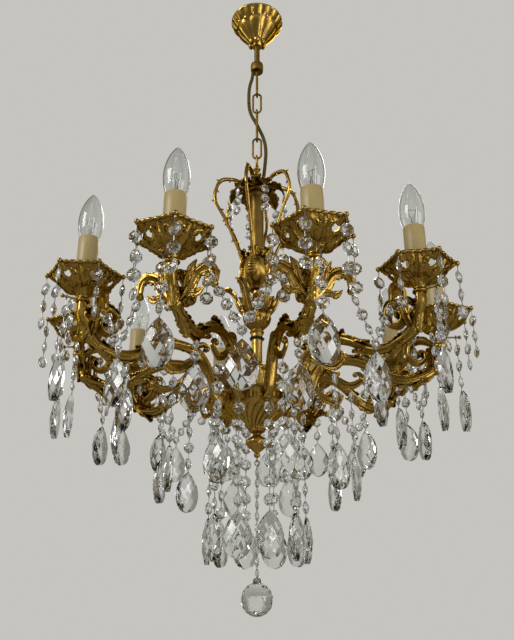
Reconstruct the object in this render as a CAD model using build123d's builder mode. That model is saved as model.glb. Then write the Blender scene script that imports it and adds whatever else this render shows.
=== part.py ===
from build123d import *
from math import atan2, cos, degrees, radians, sin, tan
import os

# Ten-armed cast brass chandelier with crystal, in millimetres.
# The origin is on the ceiling, at the middle of the crossbar, and the lamp hangs below it along -Z.

# Fits
seat_clearance = 0.15
running_clearance = 0.3

# Crossbar, lock nut and terminal block inside the canopy
bracket_length = 78
bracket_width = 18
bracket_thickness = 3
bracket_hole_spacing = 56
bracket_hole_radius = 2.6
lock_nut_radius = 8.5
lock_nut_height = 5
terminal_length = 20
terminal_width = 12
terminal_height = 13

# Hanging stem with its collar
stem_radius = 5
stem_bore_radius = 3.4
stem_length = 104
stem_socket_depth = 8
collar_radius = 11.4
collar_end_radius = 10.8
collar_height = 16
stem_eye_length = 56
stem_eye_boss_radius = 4

# Canopy
canopy_rim_radius = 48
canopy_height = 62
canopy_wall = 1.6
canopy_band = 5
canopy_lip = 4
canopy_bulge = 5
canopy_neck_radius = 8.5
canopy_neck_height = 9
grub_screw_radius = 1.6
grub_head_radius = 2.8
grub_head_length = 4

# Chain
link_wire = 3.6
link_width = 17.7
link_lengths = (45, 68, 45)
link_play = 0.3

# Supply cord, from the collar to the crown
cord_radius = 3
cord_exit_offset = 7.5
cord_entry = (9, 13)
cord_seat_depth = 5

# Central body, from the finial eye down to the bottom finial
body_eye_height = 68
body_eye_length = 26
body_eye_base_radius = 9
tie_rod_radius = 5
tie_rod_top_depth = 14
tie_rod_end_depth = 12
crown_radius = 20
crown_thickness = 10
crown_leaf_count = 6
crown_leaf_width = 17
crown_leaf_thickness = 3
crown_leaf_reach = 46
crown_leaf_droop = 18
column_radius = 11
column_wall = 1.4
column_length = 122
column_collar_radius = 14
column_collar_height = 7
vase_radius = 24
vase_neck_radius = 12
vase_height = 47
vase_bulge = 3
calyx_height = 91
calyx_neck_radius = 9
calyx_knob_radius = 21
calyx_leaf_count = 6
calyx_leaf_width = 17
calyx_leaf_thickness = 3
calyx_leaf_reach = 50
calyx_leaf_rise = 50
washer_radius = 17
washer_thickness = 3
drum_neck_radius = 8
drum_neck_height = 44
drum_radius = 20
drum_height = 45
hub_rim_radius = 49
hub_cover_step = 3
hub_cover_radius = hub_rim_radius - hub_cover_step
hub_cover_thickness = 4
hub_rim_height = 22
hub_wall = 4
hub_height = 48
hub_foot_radius = 12
hub_bulge = 6
finial_radius = 13.5
finial_height = 40
finial_tip_radius = 3
finial_bulge = 2

# Scroll rods of the crown
crown_rod_count = 6
crown_rod_turn = 20
crown_rod_radius = 2.3
crown_rod_reach = 75
crown_rod_rise = 12
crown_rod_seat_depth = 3

# Arms
arm_count = 10
candle_circle_radius = 275
arm_radius = 6
arm_hump_rise = 69
arm_dip_rise = 29
arm_height = 97
arm_tenon_radius = 4
arm_tenon_length = 13
arm_flange_radius = 8
arm_flange_thickness = 5
arm_knot_radius = 8.5
arm_nut_radius = 6.5
arm_nut_thickness = 5
branch_radius = 4.2
branch_reach = 50
branch_ball_radius = 5
scroll_radius = 3.6
curl_radius = 3.2
wire_radius = 1.2

# Drip pans
pan_radius = 45
pan_depth = 33
pan_floor_radius = 17
pan_floor_thickness = 3
pan_wall = 1.8
pan_boss_radius = 12
pan_boss_height = 6
pan_rim_roll = 1.6
prong_count = 6
prong_turn = 30
prong_reach = 51
prong_radius = 1.8
prong_ball_radius = 3.2
window_length = 12
window_width = 5
peg_radius = 1.4
peg_reach = 28
peg_ball_radius = 2.8

# Candles
nipple_radius = 4.8
nipple_length = 23
sleeve_radius = 14.5
sleeve_wall = 1.3
sleeve_length = 88
holder_drop = 11
holder_bore_radius = 7.3
holder_base_height = 12
bulb_radius = 17.5
bulb_widest_height = 24
bulb_tip_height = 73
bulb_tip_radius = 1.5
bulb_seat_drop = 8
bulb_cap_radius = 6.9
bulb_cap_length = 25

# Crystal
bead_size = 16
bead_depth = 8
bead_taper = 40
bead_pitch = 25
swag_pitch = 19
small_bead_size = 12
small_bead_pitch = 15
pin_width = 1.4
pear_height = 61
pear_width = 39
pear_depth = 16
pear_taper = 38
pear_pin = 5
ring_wire = 1.6
rim_beads = 3
pendant_beads = 3
dip_beads = 2
curl_beads = 4
root_beads = 6
swag_beads = 3
crown_beads = 3
ball_beads = 10
ball_radius = 21.5
ball_cap_radius = 5
ball_cap_height = 5

arm_pitch = 360 / arm_count
wire_half = link_wire / 2

# Heights of the chain, each link's top wire lying over the bottom wire of the one above
collar_bottom = -stem_length - collar_height
stem_eye_bottom = collar_bottom - stem_eye_length - wire_half
link_tops = []
hook_height = stem_eye_bottom + wire_half
for length in link_lengths:
    link_tops.append(hook_height + link_wire + link_play + wire_half)
    hook_height = link_tops[-1] - length + wire_half
body_eye_top = hook_height + link_wire + link_play + wire_half

# Heights of the body, each piece standing on the next
crown_top = body_eye_top - body_eye_height
column_top = crown_top - crown_thickness
vase_top = column_top - column_length
calyx_top = vase_top - vase_height
washer_top = calyx_top - calyx_height
drum_top = washer_top - washer_thickness
hub_top = drum_top - drum_neck_height - drum_height - hub_cover_thickness
finial_top = hub_top - hub_height
arm_root = hub_top - hub_rim_height / 2
pan_bottom = arm_root + arm_height
pan_floor = pan_bottom + pan_boss_height + pan_floor_thickness
pan_rim = pan_bottom + pan_boss_height + pan_depth
candle_top = pan_floor + sleeve_length
rod_bore = tie_rod_radius + seat_clearance


def bend_radii(route, share=0.45):
    # The largest arc that each corner's two runs leave room for.
    radii = []
    for before, corner, after in zip(route, route[1:], route[2:]):
        incoming = Vector(corner) - Vector(before)
        outgoing = Vector(after) - Vector(corner)
        half_turn = radians(incoming.get_angle(outgoing)) / 2
        radii.append(share * min(incoming.length, outgoing.length) / tan(half_turn))
    return radii


def parallel_route(route, radii, distance):
    # A flat route moved to the left of its own direction, with arcs about the same centres.
    points, arcs = [], []
    runs = [(Vector(end) - Vector(start)).normalized() for start, end in zip(route, route[1:])]
    normals = [Vector(-run.Y, run.X) for run in runs]
    for index, corner in enumerate(route[1:-1]):
        first, second = normals[index], normals[index + 1]
        mitre = (first + second) * (distance / (1 + first.dot(second)))
        points.append(Vector(corner) + mitre)
        left_turn = runs[index].cross(runs[index + 1]).Z > 0
        arcs.append(radii[index] - distance if left_turn else radii[index] + distance)
    start = Vector(route[0]) + normals[0] * distance
    end = Vector(route[-1]) + normals[-1] * distance
    return [start, *points, end], arcs


def bend_underside(route, radii, corner_number, bar_radius, x):
    # Height of a bar's underside at x, within the upward bend at one of its corners.
    corner = Vector(route[corner_number])
    before = (Vector(route[corner_number - 1]) - corner).normalized()
    after = (Vector(route[corner_number + 1]) - corner).normalized()
    half_angle = radians(before.get_angle(after)) / 2
    bend = radii[corner_number - 1]
    centre = corner + (before + after).normalized() * (bend / sin(half_angle))
    return centre.Y - ((bend + bar_radius) ** 2 - (x - centre.X) ** 2) ** 0.5


def add_tube(plane, route, radius, radii=None):
    # A round bar along straight runs and tangent arcs.
    with BuildLine(plane) as path:
        FilletPolyline(*route, radius=radii or bend_radii(route))
    with BuildSketch(Plane(origin=path.wire() @ 0, z_dir=path.wire() % 0)) as section:
        Circle(radius)
    sweep(section.sketch, path=path.wire())


def add_blade(plane, route, width, thickness):
    # A leaf blade, flat across the plane of its route.
    with BuildLine(plane) as path:
        FilletPolyline(*route, radius=bend_radii(route))
    start, heading = path.wire() @ 0, path.wire() % 0
    with BuildSketch(Plane(origin=start, x_dir=plane.z_dir, z_dir=heading)) as section:
        Ellipse(width / 2, thickness / 2)
    sweep(section.sketch, path=path.wire())


def add_loop(plane, top, length, width, wire):
    # A long closed loop of wire standing in the plane, with its outer top at the given height.
    half = (width - wire) / 2
    upper = top - wire / 2 - half
    lower = top - length + wire / 2 + half
    with BuildLine(plane) as loop:
        Line((half, lower), (half, upper))
        ThreePointArc((half, upper), (0, upper + half), (-half, upper))
        Line((-half, upper), (-half, lower))
        ThreePointArc((-half, lower), (0, lower - half), (half, lower))
    start = plane.from_local_coords((half, lower, 0))
    with BuildSketch(Plane(origin=start, z_dir=(0, 0, 1))) as section:
        Circle(wire / 2)
    sweep(section.sketch, path=loop.wire())


def add_turned(*outline):
    # A turned solid from straight profile points.
    with BuildSketch(Plane.XZ) as profile:
        Polygon(*outline, align=None)
    revolve(profile.sketch, axis=Axis.Z)


def bore_through(top, bottom, radius):
    with BuildSketch(Plane.XY.offset(bottom)) as hole:
        Circle(radius)
    extrude(hole.sketch, amount=top - bottom, mode=Mode.SUBTRACT)


def polar(radius, angle):
    return radius * cos(radians(angle)), radius * sin(radians(angle))


def on_each_arm(shape):
    return [Rot(0, 0, arm_pitch * number) * shape for number in range(arm_count)]


def save(shape, label):
    shape.label = label
    export_step(shape, f"parts/{label}.step")


def save_group(shapes, label):
    save(Compound(label=label, children=shapes), label)


# Crossbar screwed to the ceiling
with BuildPart() as ceiling_bracket:
    with BuildSketch(Plane.XY.offset(-bracket_thickness)):
        SlotOverall(bracket_length, bracket_width)
        with GridLocations(bracket_hole_spacing, 0, 2, 1):
            Circle(bracket_hole_radius, mode=Mode.SUBTRACT)
        Circle(stem_radius + seat_clearance, mode=Mode.SUBTRACT)
    extrude(amount=bracket_thickness)
save(ceiling_bracket.part, "ceiling_bracket")

with BuildPart() as lock_nut:
    with BuildSketch(Plane.XY.offset(-bracket_thickness)):
        RegularPolygon(lock_nut_radius, 6)
        Circle(stem_radius + seat_clearance, mode=Mode.SUBTRACT)
    extrude(amount=-lock_nut_height)
save(lock_nut.part, "lock_nut")

with BuildPart() as terminal_block:
    terminal_middle = lock_nut_radius + seat_clearance + terminal_length / 2
    with BuildSketch(Plane.XY.offset(-bracket_thickness)):
        with Locations((-terminal_middle, 0)):
            RectangleRounded(terminal_length, terminal_width, 2)
    extrude(amount=-terminal_height)
save(terminal_block.part, "terminal_block")

with BuildPart() as hanging_stem:
    stem_end = -stem_length - stem_socket_depth
    with BuildSketch(Plane.XY.offset(stem_end)):
        Circle(stem_radius)
        Circle(stem_bore_radius, mode=Mode.SUBTRACT)
    extrude(amount=-stem_end)
save(hanging_stem.part, "hanging_stem")

# Collar cast in one with the eye that carries the chain
with BuildPart() as stem_eye:
    collar_top_edge = (collar_end_radius, -stem_length)
    collar_widest = (collar_radius, -stem_length - collar_height / 2)
    collar_bottom_edge = (collar_end_radius, collar_bottom)
    with BuildSketch(Plane.XZ):
        with BuildLine():
            Line((0, -stem_length), collar_top_edge)
            ThreePointArc(collar_top_edge, collar_widest, collar_bottom_edge)
            Line(collar_bottom_edge, (0, collar_bottom))
            Line((0, collar_bottom), (0, -stem_length))
        make_face()
    revolve(axis=Axis.Z)
    bore_through(-stem_length, stem_end, stem_radius + seat_clearance)
    stem_eye_top = stem_eye_bottom + stem_eye_length
    add_turned(
        (0, collar_bottom),
        (stem_eye_boss_radius, collar_bottom),
        (stem_eye_boss_radius, stem_eye_top - link_wire),
        (0, stem_eye_top - link_wire),
    )
    add_loop(Plane.YZ, stem_eye_top, stem_eye_length, link_width, link_wire)
save(stem_eye.part, "stem_eye")

# Canopy, free to slide down the stem to the collar
canopy_bore = stem_radius + running_clearance
neck_top = canopy_neck_height - canopy_height
grub_height = -canopy_height + canopy_neck_height / 2
with BuildPart() as canopy:
    shoulder = (canopy_rim_radius - canopy_lip, -canopy_band - canopy_lip)
    inner_shoulder = (shoulder[0] - canopy_wall, shoulder[1])
    neck_edge = (canopy_neck_radius, neck_top)
    inner_neck = (canopy_bore, neck_top + canopy_wall)
    with BuildSketch(Plane.XZ):
        with BuildLine():
            Polyline((canopy_rim_radius, 0), (canopy_rim_radius, -canopy_band), shoulder)
            SagittaArc(shoulder, neck_edge, canopy_bulge)
            Polyline(
                neck_edge,
                (canopy_neck_radius, -canopy_height),
                (canopy_bore, -canopy_height),
                inner_neck,
            )
            SagittaArc(inner_neck, inner_shoulder, -canopy_bulge)
            Polyline(
                inner_shoulder,
                (canopy_rim_radius - canopy_wall, -canopy_band),
                (canopy_rim_radius - canopy_wall, 0),
                (canopy_rim_radius, 0),
            )
        make_face()
    revolve(axis=Axis.Z)
    with BuildSketch(Plane.YZ):
        with Locations((0, grub_height)):
            Circle(grub_screw_radius + seat_clearance)
    extrude(amount=canopy_neck_radius * 2, mode=Mode.SUBTRACT)
save(canopy.part, "canopy")

with BuildPart() as canopy_screw:
    with BuildSketch(Plane.YZ.offset(stem_radius + seat_clearance)):
        with Locations((0, grub_height)):
            Circle(grub_screw_radius)
    extrude(amount=canopy_neck_radius - stem_radius + seat_clearance)
    with BuildSketch(Plane.YZ.offset(canopy_neck_radius + seat_clearance)):
        with Locations((0, grub_height)):
            RegularPolygon(grub_head_radius, 12)
    extrude(amount=grub_head_length)
save(canopy_screw.part, "canopy_screw")

# Chain links, each turned a quarter from the one above
for number, (link_top, link_length) in enumerate(zip(link_tops, link_lengths), start=1):
    with BuildPart() as chain_link:
        link_plane = Plane.XZ if number % 2 else Plane.YZ
        add_loop(link_plane, link_top, link_length, link_width, link_wire)
    save(chain_link.part, f"chain_link_{number}")

# Supply cord: down beside the first link, through the middle of the second, down beside the third
cord_side = link_width / 2 + cord_radius + 2
middle_link = link_tops[1] - link_lengths[1] / 2
cord_route = [
    (-cord_exit_offset, 0, collar_bottom),
    (-cord_exit_offset, 0, collar_bottom - 12),
    (-cord_side, 0, collar_bottom - 34),
    (-cord_side - 1, 0, link_tops[0] - 14),
    (-cord_side + 1, 0, link_tops[0] - link_lengths[0] + 2),
    (0.6, 0, middle_link + 1),
    (cord_side - 1, 0, link_tops[2] - 4),
    (cord_side + 2, 1, link_tops[2] - 30),
    (cord_side - 1, 6, body_eye_top - 22),
    (*cord_entry, crown_top + 18),
    (*cord_entry, crown_top - cord_seat_depth),
]
with BuildPart() as supply_cord:
    add_tube(Plane.XY, cord_route, cord_radius)
save(supply_cord.part, "supply_cord")

# Eye and stacked beads at the top of the body
with BuildPart() as body_eye:
    eye_foot = body_eye_top - body_eye_length + link_wire
    bead_stack = [(3.4, 0), (6.5, 0.14), (3.6, 0.28), (7.5, 0.44), (4.2, 0.6), (6, 0.72), (5, 0.8)]
    stack_height = eye_foot - crown_top
    stack_base = (body_eye_base_radius, crown_top)
    add_turned(
        (0, eye_foot),
        *[(radius, eye_foot - share * stack_height) for radius, share in bead_stack],
        (body_eye_base_radius, crown_top + 0.1 * stack_height),
        stack_base,
        (0, crown_top),
    )
    add_loop(Plane.YZ, body_eye_top, body_eye_length, link_width, link_wire)
    bore_through(crown_top + tie_rod_top_depth, crown_top, rod_bore)
save(body_eye.part, "body_eye")

# Crown: plate with drooping leaves
with BuildPart() as crown_leaf:
    leaf_middle = crown_top - crown_thickness / 2
    add_blade(
        Plane.XZ,
        [
            (crown_radius - 6, leaf_middle),
            (crown_radius + 0.5 * (crown_leaf_reach - crown_radius), leaf_middle + 5),
            (crown_leaf_reach - 3, leaf_middle - 0.4 * crown_leaf_droop),
            (crown_leaf_reach, leaf_middle - crown_leaf_droop),
        ],
        crown_leaf_width,
        crown_leaf_thickness,
    )
with BuildPart() as crown_plate:
    with BuildSketch(Plane.XY.offset(column_top)):
        Circle(crown_radius)
    extrude(amount=crown_thickness)
    with PolarLocations(0, crown_leaf_count, start_angle=crown_rod_turn + 180 / crown_leaf_count):
        add(crown_leaf.part)
    bore_through(crown_top, column_top, rod_bore)
    with BuildSketch(Plane.XY.offset(crown_top)):
        with Locations(cord_entry):
            Circle(cord_radius + seat_clearance)
    extrude(amount=-cord_seat_depth - seat_clearance, mode=Mode.SUBTRACT)
save(crown_plate.part, "crown_plate")

# Scroll rods that spring from the crown plate and come down on the vase
rod_foot_height = vase_top - 0.3 * vase_height
with BuildPart() as crown_rod:
    rod_start = crown_radius - crown_rod_seat_depth
    add_tube(
        Plane.XZ,
        [
            (rod_start, leaf_middle),
            (0.45 * crown_rod_reach, crown_top + crown_rod_rise),
            (0.85 * crown_rod_reach, crown_top + crown_rod_rise - 4),
            (crown_rod_reach, column_top - 22),
            (0.72 * crown_rod_reach, column_top - 0.45 * column_length),
            (vase_radius - 4, rod_foot_height),
        ],
        crown_rod_radius,
    )
crown_rods = [
    Rot(0, 0, crown_rod_turn + 360 / crown_rod_count * number) * crown_rod.part
    for number in range(crown_rod_count)
]
save_group(crown_rods, "crown_scrolls")

# Column tube with a turned collar at its top
with BuildPart() as column_tube:
    add_turned(
        (column_radius - column_wall, column_top),
        (column_collar_radius, column_top),
        (column_collar_radius, column_top - column_collar_height / 2),
        (column_radius, column_top - column_collar_height),
        (column_radius, vase_top),
        (column_radius - column_wall, vase_top),
    )
save(column_tube.part, "column_tube")

with BuildPart() as vase:
    vase_widest = (vase_radius, vase_top - 0.5 * vase_height)
    vase_foot = (calyx_neck_radius, calyx_top + 3)
    vase_shoulder = (vase_neck_radius, vase_top - 5)
    with BuildSketch(Plane.XZ):
        with BuildLine():
            Polyline((0, vase_top), (vase_neck_radius, vase_top), vase_shoulder)
            SagittaArc(vase_shoulder, vase_widest, vase_bulge)
            SagittaArc(vase_widest, vase_foot, vase_bulge)
            Polyline(vase_foot, (calyx_neck_radius, calyx_top), (0, calyx_top), (0, vase_top))
        make_face()
    revolve(axis=Axis.Z)
    bore_through(vase_top, calyx_top, rod_bore)
save(vase.part, "vase")

# Calyx: leaves that flare up from a round knob
knob_middle = calyx_top - 0.64 * calyx_height
with BuildPart() as calyx_leaf:
    leaf_foot = calyx_knob_radius - 8
    add_blade(
        Plane.XZ,
        [
            (leaf_foot, knob_middle + 0.1 * calyx_height),
            (0.55 * calyx_leaf_reach, knob_middle + 0.4 * calyx_leaf_rise),
            (0.75 * calyx_leaf_reach, knob_middle + 0.85 * calyx_leaf_rise),
            (calyx_leaf_reach, knob_middle + calyx_leaf_rise),
        ],
        calyx_leaf_width,
        calyx_leaf_thickness,
    )
with BuildPart() as calyx:
    knob_top = (calyx_neck_radius + 2, calyx_top - 0.45 * calyx_height)
    knob_foot = (calyx_neck_radius, calyx_top - 0.86 * calyx_height)
    with BuildSketch(Plane.XZ):
        with BuildLine():
            Polyline(
                (0, calyx_top),
                (calyx_neck_radius, calyx_top),
                (calyx_neck_radius, calyx_top - 0.07 * calyx_height),
                (calyx_neck_radius - 2, calyx_top - 0.12 * calyx_height),
                knob_top,
            )
            ThreePointArc(knob_top, (calyx_knob_radius, knob_middle), knob_foot)
            Polyline(knob_foot, (calyx_neck_radius, washer_top), (0, washer_top), (0, calyx_top))
        make_face()
    revolve(axis=Axis.Z)
    with PolarLocations(0, calyx_leaf_count):
        add(calyx_leaf.part)
    bore_through(calyx_top, washer_top, rod_bore)
save(calyx.part, "calyx")

with BuildPart() as neck_washer:
    with BuildSketch(Plane.XY.offset(drum_top)):
        Circle(washer_radius)
        Circle(rod_bore, mode=Mode.SUBTRACT)
    extrude(amount=washer_thickness)
save(neck_washer.part, "neck_washer")

# Drum that stands on the hub and closes it
with BuildPart() as hub_drum:
    drum_shoulder = drum_top - drum_neck_height
    cover_top = hub_top + hub_cover_thickness
    add_turned(
        (rod_bore, drum_top),
        (drum_neck_radius, drum_top),
        (drum_neck_radius, drum_shoulder + 6),
        (0.8 * drum_radius, drum_shoulder),
        (drum_radius, drum_shoulder - 5),
        (0.85 * drum_radius, drum_shoulder - 0.7 * drum_height),
        (drum_radius + 5, cover_top),
        (hub_cover_radius, cover_top),
        (hub_cover_radius, hub_top),
        (rod_bore, hub_top),
    )
save(hub_drum.part, "hub_drum")

with BuildPart() as hub_bowl:
    hub_rim_foot = hub_top - hub_rim_height
    hub_inside = hub_rim_radius - hub_wall
    foot_edge = (hub_foot_radius, finial_top)
    inner_foot = (hub_foot_radius, finial_top + hub_wall)
    with BuildSketch(Plane.XZ):
        with BuildLine():
            Polyline((hub_rim_radius, hub_top), (hub_rim_radius, hub_rim_foot))
            SagittaArc((hub_rim_radius, hub_rim_foot), foot_edge, hub_bulge)
            Polyline(foot_edge, (rod_bore, finial_top), (rod_bore, finial_top + hub_wall), inner_foot)
            SagittaArc(inner_foot, (hub_inside, hub_rim_foot), -hub_bulge)
            Polyline((hub_inside, hub_rim_foot), (hub_inside, hub_top), (hub_rim_radius, hub_top))
        make_face()
    revolve(axis=Axis.Z)
    for number in range(arm_count):
        with BuildSketch(Plane.YZ.rotated((0, 0, arm_pitch * number))):
            with Locations((0, arm_root)):
                Circle(arm_tenon_radius + seat_clearance)
        extrude(amount=2 * hub_rim_radius, mode=Mode.SUBTRACT)
save(hub_bowl.part, "hub_bowl")

with BuildPart() as bottom_finial:
    finial_widest = (finial_radius, finial_top - 0.45 * finial_height)
    finial_tip = (finial_tip_radius, finial_top - finial_height)
    finial_neck = (hub_foot_radius - 3, finial_top - 0.2 * finial_height)
    with BuildSketch(Plane.XZ):
        with BuildLine():
            Polyline((0, finial_top), (hub_foot_radius - 1, finial_top), finial_neck)
            SagittaArc(finial_neck, finial_widest, finial_bulge)
            SagittaArc(finial_widest, finial_tip, finial_bulge)
            Polyline(finial_tip, (0, finial_tip[1]), (0, finial_top))
        make_face()
    revolve(axis=Axis.Z)
    finial_eye_top = finial_tip[1] + ring_wire
    finial_eye_size = 5 * ring_wire
    add_loop(Plane.YZ, finial_eye_top, finial_eye_size + 1, finial_eye_size, ring_wire)
    bore_through(finial_top, finial_top - tie_rod_end_depth, rod_bore)
save(bottom_finial.part, "bottom_finial")

with BuildPart() as tie_rod:
    rod_bottom = finial_top - tie_rod_end_depth
    rod_top = crown_top + tie_rod_top_depth
    with BuildSketch(Plane.XY.offset(rod_bottom)):
        Circle(tie_rod_radius)
    extrude(amount=rod_top - rod_bottom)
save(tie_rod.part, "tie_rod")

# Arm: an S-shaped stem from the hub to the drip pan
arm_span = candle_circle_radius - hub_rim_radius
flange_start = hub_rim_radius + running_clearance
arm_route = [
    (flange_start, arm_root),
    (hub_rim_radius + 0.10 * arm_span, arm_root),
    (hub_rim_radius + 0.19 * arm_span, arm_root + arm_hump_rise - 6),
    (hub_rim_radius + 0.45 * arm_span, arm_root + arm_hump_rise),
    (hub_rim_radius + 0.69 * arm_span, arm_root + arm_dip_rise),
    (hub_rim_radius + 0.92 * arm_span, arm_root + arm_dip_rise + 12),
    (candle_circle_radius, pan_bottom - 18),
    (candle_circle_radius, pan_bottom),
]
arm_bends = bend_radii(arm_route)
knot_share = 0.22
knot = tuple(
    near + knot_share * (far - near) for near, far in zip(arm_route[5], arm_route[6])
)
curl_foot = hub_rim_radius + 0.27 * arm_span
curl_low = (hub_rim_radius + 0.39 * arm_span, arm_root + arm_hump_rise - 41)
curl_route = [
    (curl_foot - 12, arm_root + arm_hump_rise - 8),
    (curl_foot, arm_root + arm_hump_rise - 27),
    curl_low,
    (curl_low[0] + 18, curl_low[1] + 9),
    (curl_low[0] + 13, curl_low[1] + 20),
]
branch_plane = Plane(origin=(knot[0], 0, 0), x_dir=(0, 1, 0), z_dir=(1, 0, 0))
branch_tip = (branch_reach, knot[1] + 18)
with BuildPart() as arm:
    add_tube(Plane.XZ, arm_route, arm_radius, arm_bends)
    with BuildSketch(Plane.YZ.offset(hub_rim_radius - arm_tenon_length)):
        with Locations((0, arm_root)):
            Circle(arm_tenon_radius)
    extrude(amount=arm_tenon_length + arm_flange_thickness)
    with BuildSketch(Plane.YZ.offset(flange_start)):
        with Locations((0, arm_root)):
            Circle(arm_flange_radius)
    extrude(amount=arm_flange_thickness)
    with Locations((knot[0], 0, knot[1])):
        Sphere(arm_knot_radius)
    add_tube(Plane.XZ, curl_route, curl_radius)
    scroll_top = pan_bottom - 6
    add_tube(
        Plane.XZ,
        [
            (candle_circle_radius - 3, scroll_top - 21),
            (candle_circle_radius - 17, scroll_top),
            (candle_circle_radius - 33, scroll_top + 1),
            (candle_circle_radius - 39, scroll_top - 11),
            (candle_circle_radius - 30, scroll_top - 17),
        ],
        scroll_radius,
    )
    for side in (1, -1):
        add_tube(
            branch_plane,
            [
                (0, knot[1]),
                (side * 0.28 * branch_reach, knot[1] + 14),
                (side * 0.56 * branch_reach, knot[1] + 38),
                (side * 0.9 * branch_reach, knot[1] + 40),
                (side * branch_tip[0], branch_tip[1]),
            ],
            branch_radius,
        )
        with Locations((knot[0], side * branch_tip[0], branch_tip[1])):
            Sphere(branch_ball_radius)
    with BuildSketch(Plane.XY.offset(pan_bottom)):
        with Locations((candle_circle_radius, 0)):
            Circle(nipple_radius)
    extrude(amount=nipple_length)
for number, placed_arm in enumerate(on_each_arm(arm.part), start=1):
    save(placed_arm, f"arm_{number:02d}")

with BuildPart() as arm_nut:
    nut_face = hub_inside - seat_clearance
    with BuildSketch(Plane.YZ.offset(nut_face - arm_nut_thickness)):
        with Locations((0, arm_root)):
            RegularPolygon(arm_nut_radius, 6)
            Circle(arm_tenon_radius + seat_clearance, mode=Mode.SUBTRACT)
    extrude(amount=arm_nut_thickness - 0.5)
save_group(on_each_arm(arm_nut.part), "arm_nuts")

# Lead lying along the top of each arm, from the hub cover to beyond the dip
with BuildPart() as arm_wire:
    wire_offset = arm_radius + wire_radius + running_clearance
    wire_route, wire_bends = parallel_route(arm_route[:6], arm_bends, wire_offset)
    hub_end = wire_route[0] - Vector(flange_start - hub_cover_radius - running_clearance, 0)
    hub_end = Vector(hub_end.X, hub_top + hub_cover_thickness / 2)
    rise = (wire_route[2] - wire_route[1]).normalized()
    first_corner = wire_route[1] + rise * ((hub_end.Y - wire_route[1].Y) / rise.Y)
    wire_end = (wire_route[4] + wire_route[5]) / 2
    wire_points = [(point.X, point.Y) for point in (hub_end, first_corner, *wire_route[2:5], wire_end)]
    wire_bends = [bend_radii(wire_points)[0], *wire_bends[1:]]
    add_tube(Plane.XZ, wire_points, wire_radius, wire_bends)
save_group(on_each_arm(arm_wire.part), "arm_wires")

# Drip pan, about its own axis
with BuildPart() as pan_prong:
    with BuildSketch(Plane.YZ.offset(pan_radius - pan_wall)):
        with Locations((0, pan_rim)):
            Circle(prong_radius)
    extrude(amount=prong_reach - pan_radius + pan_wall)
    with Locations((prong_reach, 0, pan_rim)):
        Sphere(prong_ball_radius)
with BuildPart() as pan:
    pan_base = pan_bottom + pan_boss_height
    add_turned(
        (nipple_radius + seat_clearance, pan_bottom),
        (pan_boss_radius, pan_bottom),
        (pan_boss_radius, pan_base),
        (pan_floor_radius, pan_base),
        (pan_radius, pan_rim),
        (pan_radius - pan_wall, pan_rim),
        (pan_floor_radius, pan_floor),
        (nipple_radius + seat_clearance, pan_floor),
    )
    with Locations((0, 0, pan_rim)):
        Torus(pan_radius - pan_rim_roll / 2, pan_rim_roll)
    with BuildSketch(Plane.XY.offset(pan_base)):
        with PolarLocations(0.72 * pan_radius, prong_count):
            SlotOverall(window_length, window_width)
    extrude(amount=pan_depth, mode=Mode.SUBTRACT)
    with PolarLocations(0, prong_count, start_angle=prong_turn):
        add(pan_prong.part)
    peg_height = pan_bottom + pan_boss_height / 2
    with BuildSketch(Plane.YZ.offset(pan_boss_radius - 1)):
        with Locations((0, peg_height)):
            Circle(peg_radius)
    extrude(amount=peg_reach - pan_boss_radius + 1)
    with Locations((peg_reach, 0, peg_height)):
        Sphere(peg_ball_radius)
at_candle = Pos(candle_circle_radius, 0, 0)
save_group(on_each_arm(at_candle * pan.part), "drip_pans")

with BuildPart() as candle_sleeve:
    sleeve_bore = sleeve_radius - sleeve_wall
    with BuildSketch(Plane.XY.offset(pan_floor)):
        Circle(sleeve_radius)
        Circle(sleeve_bore, mode=Mode.SUBTRACT)
    extrude(amount=sleeve_length)
save_group(on_each_arm(at_candle * candle_sleeve.part), "candle_sleeves")

# Lampholder on the nipple, inside the sleeve
with BuildPart() as lampholder:
    holder_top = candle_top - holder_drop
    with BuildSketch(Plane.XY.offset(pan_floor)):
        Circle(sleeve_bore - seat_clearance)
    extrude(amount=holder_top - pan_floor)
    bore_through(holder_top, pan_floor + holder_base_height + nipple_length, holder_bore_radius)
    bore_through(pan_floor + nipple_length, pan_floor, nipple_radius + seat_clearance)
save_group(on_each_arm(at_candle * lampholder.part), "lampholders")

# Candle bulb: clear glass on a screw cap
bulb_seat = candle_top - bulb_seat_drop
with BuildPart() as bulb_cap:
    with BuildSketch(Plane.XY.offset(bulb_seat)):
        Circle(bulb_cap_radius)
    extrude(amount=-bulb_cap_length)
with BuildPart() as bulb_glass:
    bulb_widest = (bulb_radius, candle_top + bulb_widest_height)
    bulb_tip = (bulb_tip_radius, candle_top + bulb_tip_height)
    bulb_foot = (bulb_cap_radius, bulb_seat)
    with BuildSketch(Plane.XZ):
        with BuildLine():
            Polyline((0, bulb_seat), bulb_foot)
            TangentArc(bulb_widest, bulb_foot, tangent=(0, -1))
            TangentArc(bulb_widest, bulb_tip, tangent=(0, 1))
            Polyline(bulb_tip, (0, bulb_tip[1]), (0, bulb_seat))
        make_face()
    revolve(axis=Axis.Z)
for number in range(arm_count):
    spot = Rot(0, 0, arm_pitch * number) * at_candle
    save_group([spot * bulb_cap.part, spot * bulb_glass.part], f"bulb_{number + 1:02d}")


def beaded_link(size, pitch):
    # A faceted octagon bead hanging from its pin, with the pin's top at the origin.
    with BuildPart() as link:
        with BuildSketch(Plane.YZ):
            with Locations((0, size / 2 - pitch)):
                RegularPolygon(size / 2, 8, major_radius=False, rotation=22.5)
        extrude(amount=bead_depth / 2 * size / bead_size, both=True, taper=bead_taper)
        with Locations((0, 0, -(pitch - size + 1) / 2)):
            Box(pin_width, pin_width, pitch - size + 1)
    return link.part


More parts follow.
